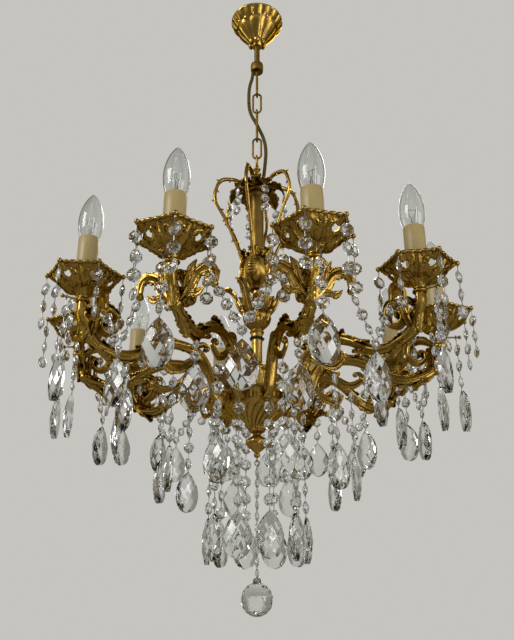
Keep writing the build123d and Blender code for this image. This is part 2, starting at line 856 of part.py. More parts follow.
def pear_drop():
    # An almond with bevelled faces, hanging from its pin.
    half = pear_width / 2
    side = [
        (0.42, -0.14), (0.8, -0.33), (1, -0.57), (0.82, -0.81), (0.42, -0.96), (0.14, -1),
    ]
    right = [(across * half, down * pear_height - pear_pin) for across, down in side]
    left = [(-across, height) for across, height in reversed(right)]
    with BuildPart() as drop:
        with BuildSketch(Plane.YZ):
            Polygon((0, -pear_pin), *right, *left, align=None)
        extrude(amount=pear_depth / 2, both=True, taper=pear_taper)
        with Locations((0, 0, -(pear_pin + 4) / 2)):
            Box(pin_width, pin_width, pear_pin + 4)
    return drop.part


bead = beaded_link(bead_size, bead_pitch)
swag_bead = beaded_link(bead_size - 2, swag_pitch)
small_bead = beaded_link(small_bead_size, small_bead_pitch)
joiner_bead = beaded_link(small_bead_size, small_bead_size)
pear = pear_drop()


def strand(link, pitch, count, x, y, top):
    return [Pos(x, y, top - pitch * index) * link for index in range(count)]


# Outer drop of each arm, ringed over the peg under the drip pan
pendant_x = candle_circle_radius + (pan_floor_radius + peg_reach) / 2
with BuildPart() as pendant_ring:
    ring_radius = peg_radius + running_clearance + ring_wire / 2
    with Locations(Location((pendant_x, 0, peg_height), (0, 90, 0))):
        Torus(ring_radius, ring_wire / 2)
pendant_top = peg_height - ring_radius - ring_wire / 2
pendant = [
    pendant_ring.part,
    *strand(bead, bead_pitch, pendant_beads, pendant_x, 0, pendant_top),
    Pos(pendant_x, 0, pendant_top - bead_pitch * pendant_beads) * pear,
]
for number in range(arm_count):
    turn = Rot(0, 0, arm_pitch * number)
    save_group([turn * piece for piece in pendant], f"pendant_{number + 1:02d}")

# Bead strands on the prongs of the drip pans
rim_strand_top = pan_rim - prong_ball_radius - seat_clearance
arm_beads, arm_pears = [], []
for number in range(prong_count):
    along, across = polar(prong_reach, prong_turn + 360 / prong_count * number)
    arm_beads += strand(bead, bead_pitch, rim_beads, candle_circle_radius + along, across, rim_strand_top)

# Drops under each arm's dip, curl and root
dip_x, curl_x, root_x = arm_route[4][0], curl_low[0], hub_rim_radius + 0.08 * arm_span
dip_top = bend_underside(arm_route, arm_bends, 4, arm_radius, dip_x) - running_clearance
curl_top = bend_underside(curl_route, bend_radii(curl_route), 2, curl_radius, curl_x) - running_clearance
root_top = bend_underside(arm_route, arm_bends, 1, arm_radius, root_x) - running_clearance
for link, pitch, count, x, top in (
    (small_bead, small_bead_pitch, dip_beads, dip_x, dip_top),
    (bead, bead_pitch, curl_beads, curl_x, curl_top),
    (bead, bead_pitch, root_beads, root_x, root_top),
):
    arm_beads += strand(link, pitch, count, x, 0, top)
    arm_pears.append(Pos(x, 0, top - pitch * count) * pear)

# Swag from this arm's branch tip to the next arm's, with a bead and a pear at the middle
tip_radius = Vector(knot[0], branch_reach).length
tip_angle = degrees(atan2(branch_reach, knot[0]))
joiner_reach = small_bead_size / 2 / cos(radians(22.5)) + seat_clearance
swag_reach = joiner_reach + swag_pitch * swag_beads + running_clearance + branch_ball_radius
half_span = tip_radius * sin(radians(arm_pitch / 2 - tip_angle))
swag_fall = (swag_reach**2 - half_span**2) ** 0.5
middle_radius = tip_radius * cos(radians(arm_pitch / 2 - tip_angle))
swag_middle = Vector(*polar(middle_radius, arm_pitch / 2), branch_tip[1] - swag_fall)
outward = Vector(*polar(1, arm_pitch / 2))
for angle in (tip_angle, arm_pitch - tip_angle):
    heading = (Vector(*polar(tip_radius, angle), branch_tip[1]) - swag_middle).normalized()
    for index in range(swag_beads):
        foot = swag_middle + heading * (joiner_reach + swag_pitch * index)
        place = Plane(origin=foot, x_dir=outward, z_dir=-heading)
        arm_beads.append(place.location * swag_bead)
swag_turn = Rot(0, 0, arm_pitch / 2)
arm_beads.append(swag_turn * Pos(middle_radius, 0, swag_middle.Z + small_bead_size / 2) * joiner_bead)
swag_pear_top = swag_middle.Z - small_bead_size / 2 - seat_clearance
arm_pears.append(swag_turn * Pos(middle_radius, 0, swag_pear_top) * pear)

# Short strands at the tips of the crown leaves
crown_strand_top = leaf_middle - crown_leaf_droop - seat_clearance
crown_strands = []
for number in range(crown_leaf_count):
    turn = Rot(0, 0, crown_rod_turn + 360 / crown_leaf_count * (number + 0.5))
    links = strand(small_bead, small_bead_pitch, crown_beads, crown_leaf_reach, 0, crown_strand_top)
    crown_strands += [turn * piece for piece in links]
save_group([copy for piece in arm_beads for copy in on_each_arm(piece)] + crown_strands, "crystal_strands")
save_group([copy for piece in arm_pears for copy in on_each_arm(piece)], "crystal_pears")

# Centre strand with the ball
finial_hook = finial_eye_top - finial_eye_size - 1 + ring_wire / 2
ball_ring_top = finial_hook + ring_wire + link_play + ring_wire / 2
ball_strand_top = ball_ring_top - finial_eye_size - 1
ball_cap_top = ball_strand_top - small_bead_pitch * ball_beads
ball_middle = ball_cap_top - ball_cap_height - ball_radius + 1
with BuildPart() as ball_ring:
    add_loop(Plane.XZ, ball_ring_top, finial_eye_size + 1, finial_eye_size, ring_wire)
with BuildPart() as crystal_ball:
    with Locations((0, 0, ball_middle)):
        Sphere(ball_radius)
    with BuildSketch(Plane.XY.offset(ball_middle + ball_radius - 2)):
        RegularPolygon(ball_cap_radius, 8)
    extrude(amount=ball_cap_top - ball_middle - ball_radius + 2)
ball_links = strand(small_bead, small_bead_pitch, ball_beads, 0, 0, ball_strand_top)
save_group([ball_ring.part, *ball_links, crystal_ball.part], "ball_drop")
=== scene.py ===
import bpy
import bmesh
import numpy as np
from math import sin, cos, pi, radians
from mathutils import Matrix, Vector


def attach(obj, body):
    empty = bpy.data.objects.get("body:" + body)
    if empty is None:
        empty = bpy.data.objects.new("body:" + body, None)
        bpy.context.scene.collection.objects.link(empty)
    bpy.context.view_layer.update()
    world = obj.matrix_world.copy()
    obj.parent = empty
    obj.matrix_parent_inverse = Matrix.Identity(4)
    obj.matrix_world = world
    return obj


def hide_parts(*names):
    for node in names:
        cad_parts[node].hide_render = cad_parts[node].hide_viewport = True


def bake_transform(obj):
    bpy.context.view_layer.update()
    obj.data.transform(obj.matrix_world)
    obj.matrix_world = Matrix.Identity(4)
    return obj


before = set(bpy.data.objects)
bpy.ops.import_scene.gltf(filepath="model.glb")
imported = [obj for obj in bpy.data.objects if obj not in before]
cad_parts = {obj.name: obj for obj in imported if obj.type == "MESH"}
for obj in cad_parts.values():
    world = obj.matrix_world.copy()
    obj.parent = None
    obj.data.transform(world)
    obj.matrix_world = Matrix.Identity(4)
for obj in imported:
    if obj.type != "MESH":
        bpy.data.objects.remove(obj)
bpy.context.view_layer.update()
mm = 0.001
armCount = 10
armStep = 360 / armCount
candleRadius = 275               # pans, sleeves and bulbs stand on this circle, in mm
crispAngle = 50                  # degrees; sharper edges aren't smoothed over
print("frame loaded:", len(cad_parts), "CAD nodes")


# Small tools
def hexColour(code):
    # sRGB hex to linear
    out = []
    for i in (0, 2, 4):
        c = int(code[i:i + 2], 16) / 255
        out.append(c / 12.92 if c <= 0.04045 else ((c + 0.055) / 1.055) ** 2.4)
    return (*out, 1.0)


def addNode(tree, kind, links=None, **settings):
    node = tree.nodes.new(kind)
    for key, value in settings.items():
        setattr(node, key, value)
    for socket, source in (links or {}).items():
        if isinstance(source, bpy.types.NodeSocket):
            tree.links.new(source, node.inputs[socket])
        else:
            node.inputs[socket].default_value = source
    return node


def newMaterial(name, **sockets):
    mat = bpy.data.materials.new(name)
    mat.use_nodes = True
    tree = mat.node_tree
    shader = tree.nodes["Principled BSDF"]
    for socket, value in sockets.items():
        shader.inputs[socket.replace("_", " ")].default_value = value
    return mat, tree, shader


def ramp(share, at, steep):
    # 0 up to a place, then rising to 1; a negative slope falls to 0 there instead
    return np.clip((share - at) * steep, 0, 1)


def hump(share, at, steep):
    # 1 at a place, falling to 0 on both sides
    return np.clip(1 - np.abs(share - at) * steep, 0, 1)


def smoothLine(points, count):
    # a smooth curve through every point, count samples
    p = np.array(points, float)
    ext = np.vstack([2 * p[0] - p[1], p, 2 * p[-1] - p[-2]])
    t = np.linspace(0, len(p) - 1 - 1e-9, count)
    k = t.astype(int)
    f = (t - k)[:, None]
    a, b, c, d = ext[k], ext[k + 1], ext[k + 2], ext[k + 3]
    return 0.5 * (2 * b + (c - a) * f + (2 * a - 5 * b + 4 * c - d) * f**2 + (3 * b - a - 3 * c + d) * f**3)


def roundedLine(points, count, share=0.45, cornerPoints=9):
    # straight runs with rounded corners, the way the cast bars bend
    p = np.array(points, float)
    out = [p[0]]
    for a, b, c in zip(p, p[1:], p[2:]):
        cut = share * min(np.linalg.norm(b - a), np.linalg.norm(c - b))
        start = b + (a - b) / np.linalg.norm(a - b) * cut
        end = b + (c - b) / np.linalg.norm(c - b) * cut
        for t in np.linspace(0, 1, cornerPoints):
            out.append((1 - t) ** 2 * start + 2 * t * (1 - t) * b + t * t * end)
    out.append(p[-1])
    out = np.array(out)
    s = np.concatenate([[0], np.cumsum(np.linalg.norm(np.diff(out, axis=0), axis=1))])
    want = np.linspace(0, s[-1], count)
    return np.stack([np.interp(want, s, out[:, i]) for i in range(3)], axis=1)


def flat(points):
    # (x, z) pairs to points in the XZ plane
    return [(x, 0, z) for x, z in points]


def gridFaces(rows, cols, closed):
    r = np.arange(rows - 1)[:, None]
    c = np.arange(cols if closed else cols - 1)[None, :]
    n = (c + 1) % cols
    corners = [r * cols + c, r * cols + n, (r + 1) * cols + n, (r + 1) * cols + c]
    return np.stack(corners, -1).reshape(-1, 4).tolist()


def lathe(profile, sides, wave=None, slot=0):
    # profile runs as (radius, height) pairs; wave(angle, share) adds to the radius
    p = np.array(profile, float)
    angle = np.linspace(0, 2 * pi, sides, endpoint=False)[None, :]
    share = np.linspace(0, 1, len(p))[:, None]
    r = np.repeat(p[:, :1], sides, 1)
    if wave:
        r = r + wave(angle, share) * (r > 0.01)
    z = np.repeat(p[:, 1:], sides, 1)
    v = np.stack([r * np.cos(angle), r * np.sin(angle), z], -1).reshape(-1, 3)
    return v, gridFaces(len(p), sides, True), slot


def turned(points, count, sides, wave=None, slot=0):
    # a lathe shape with a smooth profile
    line = smoothLine(points, count)
    line[:, 0] = np.maximum(line[:, 0], 0)
    return lathe(line, sides, wave, slot)


def frames(path):
    # direction and two cross directions at each point, without twist
    tangent = np.gradient(path, axis=0)
    tangent /= np.linalg.norm(tangent, axis=1)[:, None]
    side = np.cross(tangent[0], (0, 1, 0) if abs(tangent[0][1]) < 0.8 else (1, 0, 0))
    sides = []
    for t in tangent:
        side = side - t * (side @ t)
        side = side / np.linalg.norm(side)
        sides.append(side)
    sides = np.array(sides)
    return tangent, sides, np.cross(tangent, sides)


def bar(path, radius, sides, wave=None, slot=0, dome=0.3):
    # a round bar along the path; radius is one number or one per point
    path = np.array(path, float)
    radius = np.broadcast_to(np.array(radius, float), len(path))
    tangent, across, up = frames(path)
    angle = np.linspace(0, 2 * pi, sides, endpoint=False)
    r = radius[:, None] * np.ones(sides)
    if wave:
        r = r + wave(angle[None, :], np.linspace(0, 1, len(path))[:, None])
    spokes = across[:, None] * np.cos(angle)[None, :, None] + up[:, None] * np.sin(angle)[None, :, None]
    skin = (path[:, None] + r[..., None] * spokes).reshape(-1, 3)
    startTip = path[:1] - tangent[:1] * radius[0] * dome
    endTip = path[-1:] + tangent[-1:] * radius[-1] * dome
    n = len(path)
    faces = gridFaces(n, sides, True)
    for i in range(sides):
        j = (i + 1) % sides
        faces.append([n * sides, j, i])
        faces.append([n * sides + 1, (n - 1) * sides + i, (n - 1) * sides + j])
    return np.vstack([skin, startTip, endTip]), faces, slot


def tapered(points, count, thick, thin, sides):
    # a bar along a smooth line in the XZ plane that thins towards its end
    return bar(smoothLine(flat(points), count), np.linspace(thick, thin, count), sides)


def ball(centre, radius, sides=12, stretch=(1, 1, 1)):
    a = np.linspace(0, pi, sides // 2 + 1)
    v, f, s = lathe([(sin(t), cos(t)) for t in a], sides)
    return v * radius * np.array(stretch) + np.array(centre), f, s


leafGrid = {"across": 15, "along": 44}


def acanthus(path, width, face, lobes, thick, cup, depth):
    # a cast leaf: lobed edge, raised midrib, fluted blade, closed with a back face
    across, along = leafGrid["across"], leafGrid["along"]
    line = smoothLine(path, along)
    tangent = np.gradient(line, axis=0)
    tangent /= np.linalg.norm(tangent, axis=1)[:, None]
    side = np.cross(np.array(face, float), tangent)
    side /= np.linalg.norm(side, axis=1)[:, None]
    up = np.cross(tangent, side)
    u = np.linspace(0, 1, along)[:, None]
    v = np.linspace(-1, 1, across)[None, :]
    saw = 1 - ((u * lobes) % 1)                       # each lobe springs out and runs back to the rib
    edge = np.clip((u * 7 + 0.35), 0, 1) * np.clip((1.02 - u) * 2.4, 0, 1) ** 0.7
    half = width / 2 * edge * (1 - depth + depth * saw**0.6)
    sweep = 0.16 * width * v**2 * edge                # lobes point forward
    veins = 0.035 * np.cos((np.abs(v) * 2.4 - u * lobes) * 2 * pi) * np.abs(v)
    midrib = 0.1 * np.exp(-(v / 0.16) ** 2)
    lift = width * edge * (cup * v**2 + veins + midrib)
    top = line[:, None] + side[:, None] * (half * v)[..., None] + tangent[:, None] * sweep[..., None]
    top = top + up[:, None] * lift[..., None]
    low = top - up[:, None] * thick
    n = along * across
    faces = gridFaces(along, across, False)
    back = [[n + i for i in reversed(f)] for f in faces]
    rim = [i * across for i in range(along)]
    rim += [(along - 1) * across + i for i in range(1, across)]
    rim += [(along - 1 - i) * across + across - 1 for i in range(1, along)]
    rim += [across - 1 - i for i in range(1, across - 1)]
    skirt = [[a, n + a, n + b, b] for a, b in zip(rim, rim[1:] + rim[:1])]
    return np.vstack([top.reshape(-1, 3), low.reshape(-1, 3)]), faces + back + skirt, 0


def leaf(path, **shape):
    # a cast leaf whose midrib lies in the XZ plane
    return acanthus(flat(path), **shape)


def moved(part, x=0, y=0, z=0):
    return part[0] + np.array((x, y, z)), part[1], part[2]


def turnedBy(part, degrees):
    a = radians(degrees)
    m = np.array([[cos(a), -sin(a), 0], [sin(a), cos(a), 0], [0, 0, 1]])
    return part[0] @ m.T, part[1], part[2]


def around(part, count, start=0):
    return [turnedBy(part, start + 360 / count * i) for i in range(count)]


def meshOf(name, parts, materials, smooth=True):
    verts, faces, slots, base = [], [], [], 0
    for v, f, s in parts:
        verts.append(v)
        faces += [[i + base for i in face] for face in f]
        slots += [s] * len(f)
        base += len(v)
    mesh = bpy.data.meshes.new(name)
    mesh.from_pydata((np.vstack(verts) * mm).tolist(), [], faces)
    for m in materials:
        mesh.materials.append(m)
    mesh.polygons.foreach_set("material_index", slots)
    bm = bmesh.new()
    bm.from_mesh(mesh)
    bmesh.ops.remove_doubles(bm, verts=bm.verts, dist=1e-6)
    bmesh.ops.dissolve_degenerate(bm, edges=bm.edges, dist=1e-7)
    bmesh.ops.recalc_face_normals(bm, faces=bm.faces)
    bm.to_mesh(mesh)
    bm.free()
    mesh.polygons.foreach_set("use_smooth", [smooth] * len(mesh.polygons))
    if smooth:
        mesh.set_sharp_from_angle(angle=radians(crispAngle))
    return mesh


def place(name, mesh, body, slotName, *nodes, turn=0):
    obj = bpy.data.objects.new(name, mesh)
    bpy.context.scene.collection.objects.link(obj)
    obj.rotation_euler = (0, 0, radians(turn))
    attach(obj, body)
    if nodes:
        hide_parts(*nodes)


def onEachArm(name, mesh, slotName, shared=None, own=None, moves=False):
    # one copy an arm; each stands for a CAD node of its own, or the first for the node that they share
    for n in range(armCount):
        tag = f"{n + 1:02d}"
        nodes = [shared] if shared and n == 0 else []
        if own:
            nodes = [f"{own}_{tag}"]
        body = f"{own}_{tag}" if moves else "lamp_body"
        place(f"{name}{tag}", mesh, body, slotName, *nodes, turn=armStep * n)


# Materials
mixA, mixB, mixOut = 6, 7, 2     # the colour sockets of a Mix node
brassAgeAndShade = {"edge": "D9B465", "patchMm": 18, "aoShadeMm": 7, "grainDepthMm": 0.4}


def castBrass(name, face, shadeAndTarnish, rough, grainMm=2.5):
    # cast, polished and lacquered brass that has aged: gold high spots, tarnish patches, faint grain, brown
    # painted shade in the hollows
    mat, tree, shader = newMaterial(name, Metallic=1.0, Specular_Tint=hexColour(brassAgeAndShade["edge"]))
    spot = addNode(tree, "ShaderNodeTexCoord").outputs["Object"]
    patches = addNode(tree, "ShaderNodeTexNoise",
                      {"Vector": spot, "Scale": 1 / (brassAgeAndShade["patchMm"] * mm), "Detail": 5.0})
    grain = addNode(tree, "ShaderNodeTexNoise",
                    {"Vector": spot, "Scale": 1 / (grainMm * mm), "Detail": 3.0})
    # painted shade: ambient occlusion darkens the colour in hollows and folds
    aoShade = addNode(tree, "ShaderNodeAmbientOcclusion", {"Distance": brassAgeAndShade["aoShadeMm"] * mm},
                        samples=12, only_local=True)
    outOfShade = addNode(tree, "ShaderNodeMapRange",
                       {"Value": aoShade.outputs["AO"], "From Min": 0.3, "From Max": 0.95})
    tarnish = addNode(tree, "ShaderNodeMapRange",
                      {"Value": patches.outputs["Fac"], "From Min": 0.4, "From Max": 0.7, "To Max": 0.3})
    # the brown colour goes both where painted shade falls and where tarnish patches lie
    amount = addNode(tree, "ShaderNodeMath", {0: outOfShade.outputs["Result"], 1: tarnish.outputs["Result"]},
                     operation="SUBTRACT", use_clamp=True)
    colour = addNode(tree, "ShaderNodeMix",
                     {"Factor": amount.outputs["Value"], mixA: hexColour(shadeAndTarnish), mixB: hexColour(face)},
                     data_type="RGBA")
    tree.links.new(colour.outputs[mixOut], shader.inputs["Base Color"])
    gloss = addNode(tree, "ShaderNodeMapRange",
                    {"Value": patches.outputs["Fac"], "From Min": 0.3, "From Max": 0.7,
                     "To Min": rough - 0.06, "To Max": rough + 0.1})
    tree.links.new(gloss.outputs["Result"], shader.inputs["Roughness"])
    bump = addNode(tree, "ShaderNodeBump", {"Height": grain.outputs["Fac"], "Strength": 0.12,
                                            "Distance": brassAgeAndShade["grainDepthMm"] * mm})
    tree.links.new(bump.outputs["Normal"], shader.inputs["Normal"])
    return mat


brass = castBrass("agedCastBrass", "AC8C44", "50360E", 0.25)             # warm gold, brown painted shade in the folds
darkBrass = castBrass("darkerCastBrass", "8A6A2C", "33210A", 0.3)     # crown leaves, darker brass than the rest
drawnBrass = castBrass("drawnBrassTube", "8A6F38", "5A421C", 0.42, 1.2)  # duller tube, wire and stem stock


def glassLike(name, tint, ior, smearMm, smear):
    # clear glass: bright facets, with the faintest film of handling on its faces
    mat, tree, shader = newMaterial(name, Base_Color=hexColour(tint), IOR=ior, Transmission_Weight=1.0)
    spot = addNode(tree, "ShaderNodeTexCoord").outputs["Object"]
    film = addNode(tree, "ShaderNodeTexNoise", {"Vector": spot, "Scale": 1 / (smearMm * mm), "Detail": 3.0})
    rough = addNode(tree, "ShaderNodeMapRange",
                    {"Value": film.outputs["Fac"], "From Min": 0.45, "From Max": 0.75,
                     "To Min": 0.0, "To Max": smear})
    tree.links.new(rough.outputs["Result"], shader.inputs["Roughness"])
    return mat


crystal = glassLike("leadCrystal", "EEF0EE", 1.56, 14, 0.03)             # sparkles at every facet edge
bulbGlass = glassLike("blownLampGlass", "F4F6F4", 1.5, 20, 0.02)         # a thin bright outline


def plainMetal(name, colour, rough, scuffMm, worn=0.75):
    # small drawn or plated parts: even colour with a little scuffing
    mat, tree, shader = newMaterial(name, Metallic=1.0, Roughness=rough)
    spot = addNode(tree, "ShaderNodeTexCoord").outputs["Object"]
    scuff = addNode(tree, "ShaderNodeTexNoise",
                    {"Vector": spot, "Scale": 1 / (scuffMm * mm), "Detail": 4.0})
    wornColour = [c * worn for c in hexColour(colour)[:3]] + [1]
    tone = addNode(tree, "ShaderNodeMix",
                   {"Factor": scuff.outputs["Fac"], mixA: wornColour, mixB: hexColour(colour)},
                   data_type="RGBA")
    tree.links.new(tone.outputs[mixOut], shader.inputs["Base Color"])
    return mat


nickelPin = plainMetal("nickelPinWire", "8C8C86", 0.3, 3)                # grey glint between the beads
zinc = plainMetal("zincPlatedSteel", "A9ABA8", 0.38, 6)                  # pale grey, mostly out of sight
tungsten = plainMetal("tungstenFilament", "55555A", 0.4, 2)              # fine dark line inside a bulb


def plasticLike(name, colour, shade, rough, toneMm, bumpMm):
    # moulded or wound sheet with a slight unevenness of tone
    mat, tree, shader = newMaterial(name, Roughness=rough)
    spot = addNode(tree, "ShaderNodeTexCoord").outputs["Object"]
    tone = addNode(tree, "ShaderNodeTexNoise", {"Vector": spot, "Scale": 1 / (toneMm * mm), "Detail": 4.0})
    mix = addNode(tree, "ShaderNodeMix",
                  {"Factor": tone.outputs["Fac"], mixA: hexColour(shade), mixB: hexColour(colour)},
                  data_type="RGBA")
    tree.links.new(mix.outputs[mixOut], shader.inputs["Base Color"])
    bump = addNode(tree, "ShaderNodeBump",
                   {"Height": tone.outputs["Fac"], "Strength": 0.15, "Distance": bumpMm * mm})
    tree.links.new(bump.outputs["Normal"], shader.inputs["Normal"])
    return mat


sleeveCard = plasticLike("creamLacquerCard", "A3905F", "93814F", 0.42, 12, 0.2)      # satin cream
holderPlastic = plasticLike("phenolicResin", "2A2623", "1B1816", 0.5, 5, 0.1)        # dark, in the sleeve
terminalPlastic = plasticLike("polyamideTerminal", "DCD9CF", "CBC8BD", 0.5, 5, 0.1)  # milky white
washerPaint = plasticLike("blackLacquerSteel", "1C1B1A", "0E0D0D", 0.35, 6, 0.1)     # black, soft shine
leadPlastic = plasticLike("clearGoldLead", "9A7A2C", "7C5F1E", 0.3, 4, 0.05)         # thin golden line
braidSize = {"stitchMm": 1.2, "reliefMm": 0.4, "thread": "5E5218", "gap": "352B08"}


def braidedCotton():
    # tubular braid of cotton thread: matt olive with dark gaps between the stitches
    mat, tree, shader = newMaterial("braidedCotton", Roughness=0.75, Specular_IOR_Level=0.2)
    spot = addNode(tree, "ShaderNodeTexCoord").outputs["Object"]
    braid = addNode(tree, "ShaderNodeTexVoronoi",
                    {"Vector": spot, "Scale": 1 / (braidSize["stitchMm"] * mm)})
    mix = addNode(tree, "ShaderNodeMix",
                  {"Factor": braid.outputs["Distance"], mixA: hexColour(braidSize["thread"]),
                   mixB: hexColour(braidSize["gap"])}, data_type="RGBA")
    tree.links.new(mix.outputs[mixOut], shader.inputs["Base Color"])
    bump = addNode(tree, "ShaderNodeBump", {"Height": braid.outputs["Distance"], "Strength": 0.6,
                                            "Distance": braidSize["reliefMm"] * mm}, invert=True)
    tree.links.new(bump.outputs["Normal"], shader.inputs["Normal"])
    return mat


cotton = braidedCotton()
print("materials made:", len(bpy.data.materials))

# CAD nodes whose own shape is right take a finish and stay
nodeFinish = {
    "ceiling_bracket": zinc, "lock_nut": zinc, "tie_rod": zinc, "arm_nuts": zinc,
    "terminal_block": terminalPlastic, "arm_wires": leadPlastic,
    "hanging_stem": drawnBrass, "stem_eye": drawnBrass, "canopy_screw": drawnBrass,
    "column_tube": drawnBrass,
    "chain_link_1": drawnBrass, "chain_link_2": drawnBrass, "chain_link_3": drawnBrass,
}
for name, finish in nodeFinish.items():
    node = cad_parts[name]
    node.data.materials.clear()
    node.data.materials.append(finish)

# Canopy: a lobed bell with a bud on the foot of each petal
canopySize = {
    "tongues": 15, "tongueDepth": 3.6, "petals": 6, "petalDepth": 5.4, "seam": 0.4,
    "front": -86.3, "sides": 180, "bud": (4.4, 6.2, 9), "budRadius": 13.2, "budHeight": -51,
    "outside": [(44, 0), (47.2, -0.8), (47.2, -3.2), (45.2, -6.5), (42.4, -11), (39.6, -15), (37.2, -18.5),
                (36.4, -20.5), (34.4, -25), (31, -30.5), (26.8, -36.5), (22.2, -42.5), (17.8, -48.5),
                (14, -54), (10.6, -58.5), (8.6, -62)],
    "inside": [(8.6, -62), (5.4, -62), (5.4, -52), (14, -42), (24, -28), (33, -14), (40, -5), (43, 0),
               (44, 0)],
}


def canopyWave(angle, share):
    # a row of tongues under the rim, over a row of broad petals that close on the stem
    fromFront = angle - radians(canopySize["front"])
    high = ramp(share, canopySize["seam"], -12) * ramp(share, 0.08, 12)
    low = ramp(share, canopySize["seam"], 9) * ramp(share, 1, -2.2)
    tongue = np.abs(np.cos(fromFront * canopySize["tongues"] / 2)) ** 0.6 - 0.7
    petal = np.abs(np.cos(fromFront * canopySize["petals"] / 2)) ** 0.6 - 0.8
    return canopySize["tongueDepth"] * tongue * high + canopySize["petalDepth"] * petal * low


canopyParts = [turned(canopySize["outside"], 76, canopySize["sides"], canopyWave),
               lathe(canopySize["inside"], canopySize["sides"])]
bud = moved(ball((0, 0, 0), 1, 14, canopySize["bud"]), x=canopySize["budRadius"], z=canopySize["budHeight"])
canopyParts += around(bud, canopySize["petals"], canopySize["front"])
place("canopyBell", meshOf("canopyBell", canopyParts, [brass]), "canopy", "cast_brass", "canopy")
print("canopy made")

# Supply cord, woven down the chain; one stretch for each joint, between two heights
cordRoute = [(-7.5, 0, -120), (-7.5, 0, -132), (-13.85, 0, -154), (-14.85, 0, -184.3), (-12.85, 0, -213.3),
             (0.6, 0, -240.8), (12.85, 0, -272.3), (15.85, 1, -298.3), (12.85, 6, -327.8), (9, 13, -355.8),
             (9, 13, -378.8)]
cordCuts = {"chain": ["ceiling_mount", "chain_link_1", "chain_link_2", "chain_link_3", "lamp_body"],
            "pivots": [-176, -213.5, -274, -311.5], "ends": [-121, -195, -244, -293, -379.5],
            "half": 12, "overlap": 3, "radius": 3.0}
curve = bpy.data.curves.new("cordLine", "CURVE")
curve.dimensions = "3D"
spline = curve.splines.new("NURBS")
spline.points.add(len(cordRoute) - 1)
for point, spot in zip(spline.points, cordRoute):
    point.co = (*[c * mm for c in spot], 1)
spline.order_u = 3
spline.use_endpoint_u = True
spline.resolution_u = 10
lineObject = bpy.data.objects.new("cordLine", curve)
lineMesh = bpy.data.meshes.new_from_object(lineObject)
cordLine = np.array([v.co for v in lineMesh.vertices]) / mm
if cordLine[0][2] < cordLine[-1][2]:
    cordLine = cordLine[::-1]
bpy.data.objects.remove(lineObject)
bpy.data.curves.remove(curve)
bpy.data.meshes.remove(lineMesh)
for i in range(len(cordCuts["pivots"])):
    high, low = cordCuts["ends"][i] + cordCuts["overlap"], cordCuts["ends"][i + 1] - cordCuts["overlap"]
    picked = [k for k, p in enumerate(cordLine) if low <= p[2] <= high]
    stretch = cordLine[picked[0]:picked[-1] + 1]
    mesh = meshOf(f"supplyCord{i + 1}", [bar(stretch, cordCuts["radius"], 14)], [cotton])
    piece = bpy.data.objects.new(f"supplyCord{i + 1}", mesh)
    bpy.context.scene.collection.objects.link(piece)
    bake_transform(piece)
    run = float(np.linalg.norm(np.diff(stretch, axis=0), axis=1).sum()) * mm
    if i == 0:
        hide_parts("supply_cord")
print("cord made")

# Eye on its beaded stalk
eyeSize = {
    "wire": 1.8, "loop": 7.05, "middle": -314.65, "drop": 8.3,
    "stalk": [(0, -328), (3.4, -328.2), (3.2, -330.5), (6.4, -334), (3.6, -338), (4, -340), (7.6, -345),
              (4.2, -350), (4.6, -352), (6.2, -356), (4.6, -359.5), (5.2, -362), (9, -366.5), (9.4, -370),
              (9.2, -373.8)],
}
eyeLoop = []
for a in np.linspace(0, 2 * pi, 40, endpoint=False):
    drop = 0 if sin(a) > 0 else eyeSize["drop"]                  # the lower half reaches down to the stalk
    eyeLoop.append((0, eyeSize["loop"] * cos(a), eyeSize["middle"] + (eyeSize["loop"] * sin(a) - drop)))
eyeParts = [turned(eyeSize["stalk"], 60, 32), bar(eyeLoop + eyeLoop[:1], eyeSize["wire"], 12)]
place("topEye", meshOf("topEye", eyeParts, [brass]), "lamp_body", "cast_brass", "body_eye")

# Crown plate with two rows of leaves
crownSize = {
    "leaves": 6, "longTurn": 50, "shortTurn": 20, "bead": (31, 0, -369), "beadRadius": 3.0,
    "plate": [(6, -373.8), (12, -373.6), (19.5, -374.5), (21, -378.8), (19.5, -383), (14, -383.8),
              (6, -383.8)],
    "rib": [(16, -376), (28, -371), (38, -375), (44, -386)], "ribWidths": (1.6, 0.8),
    "longLeaf": dict(path=[(11, -377.5), (24, -373.5), (35, -375), (42, -382), (46, -393)], width=25,
                     face=(0, 0, 1), lobes=4, thick=1.6, cup=0.1, depth=0.42),
    "shortLeaf": dict(path=[(10, -380), (20, -379), (29, -381), (35, -387)], width=17,
                      face=(0, 0, 1), lobes=3, thick=1.4, cup=0.1, depth=0.4),
}
crownParts = [turned(crownSize["plate"], 30, 36)]
crownParts += around(leaf(**crownSize["longLeaf"]), crownSize["leaves"], crownSize["longTurn"])
crownRib = tapered(crownSize["rib"], 16, *crownSize["ribWidths"], 8)
crownParts += around(crownRib, crownSize["leaves"], crownSize["longTurn"])
crownParts += around(leaf(**crownSize["shortLeaf"]), crownSize["leaves"], crownSize["shortTurn"])
crownBead = ball(crownSize["bead"], crownSize["beadRadius"])
crownParts += around(crownBead, crownSize["leaves"], crownSize["shortTurn"])
crownMesh = meshOf("crownLeaves", crownParts, [darkBrass])
place("crownLeaves", crownMesh, "lamp_body", "cast_brass", "crown_plate")

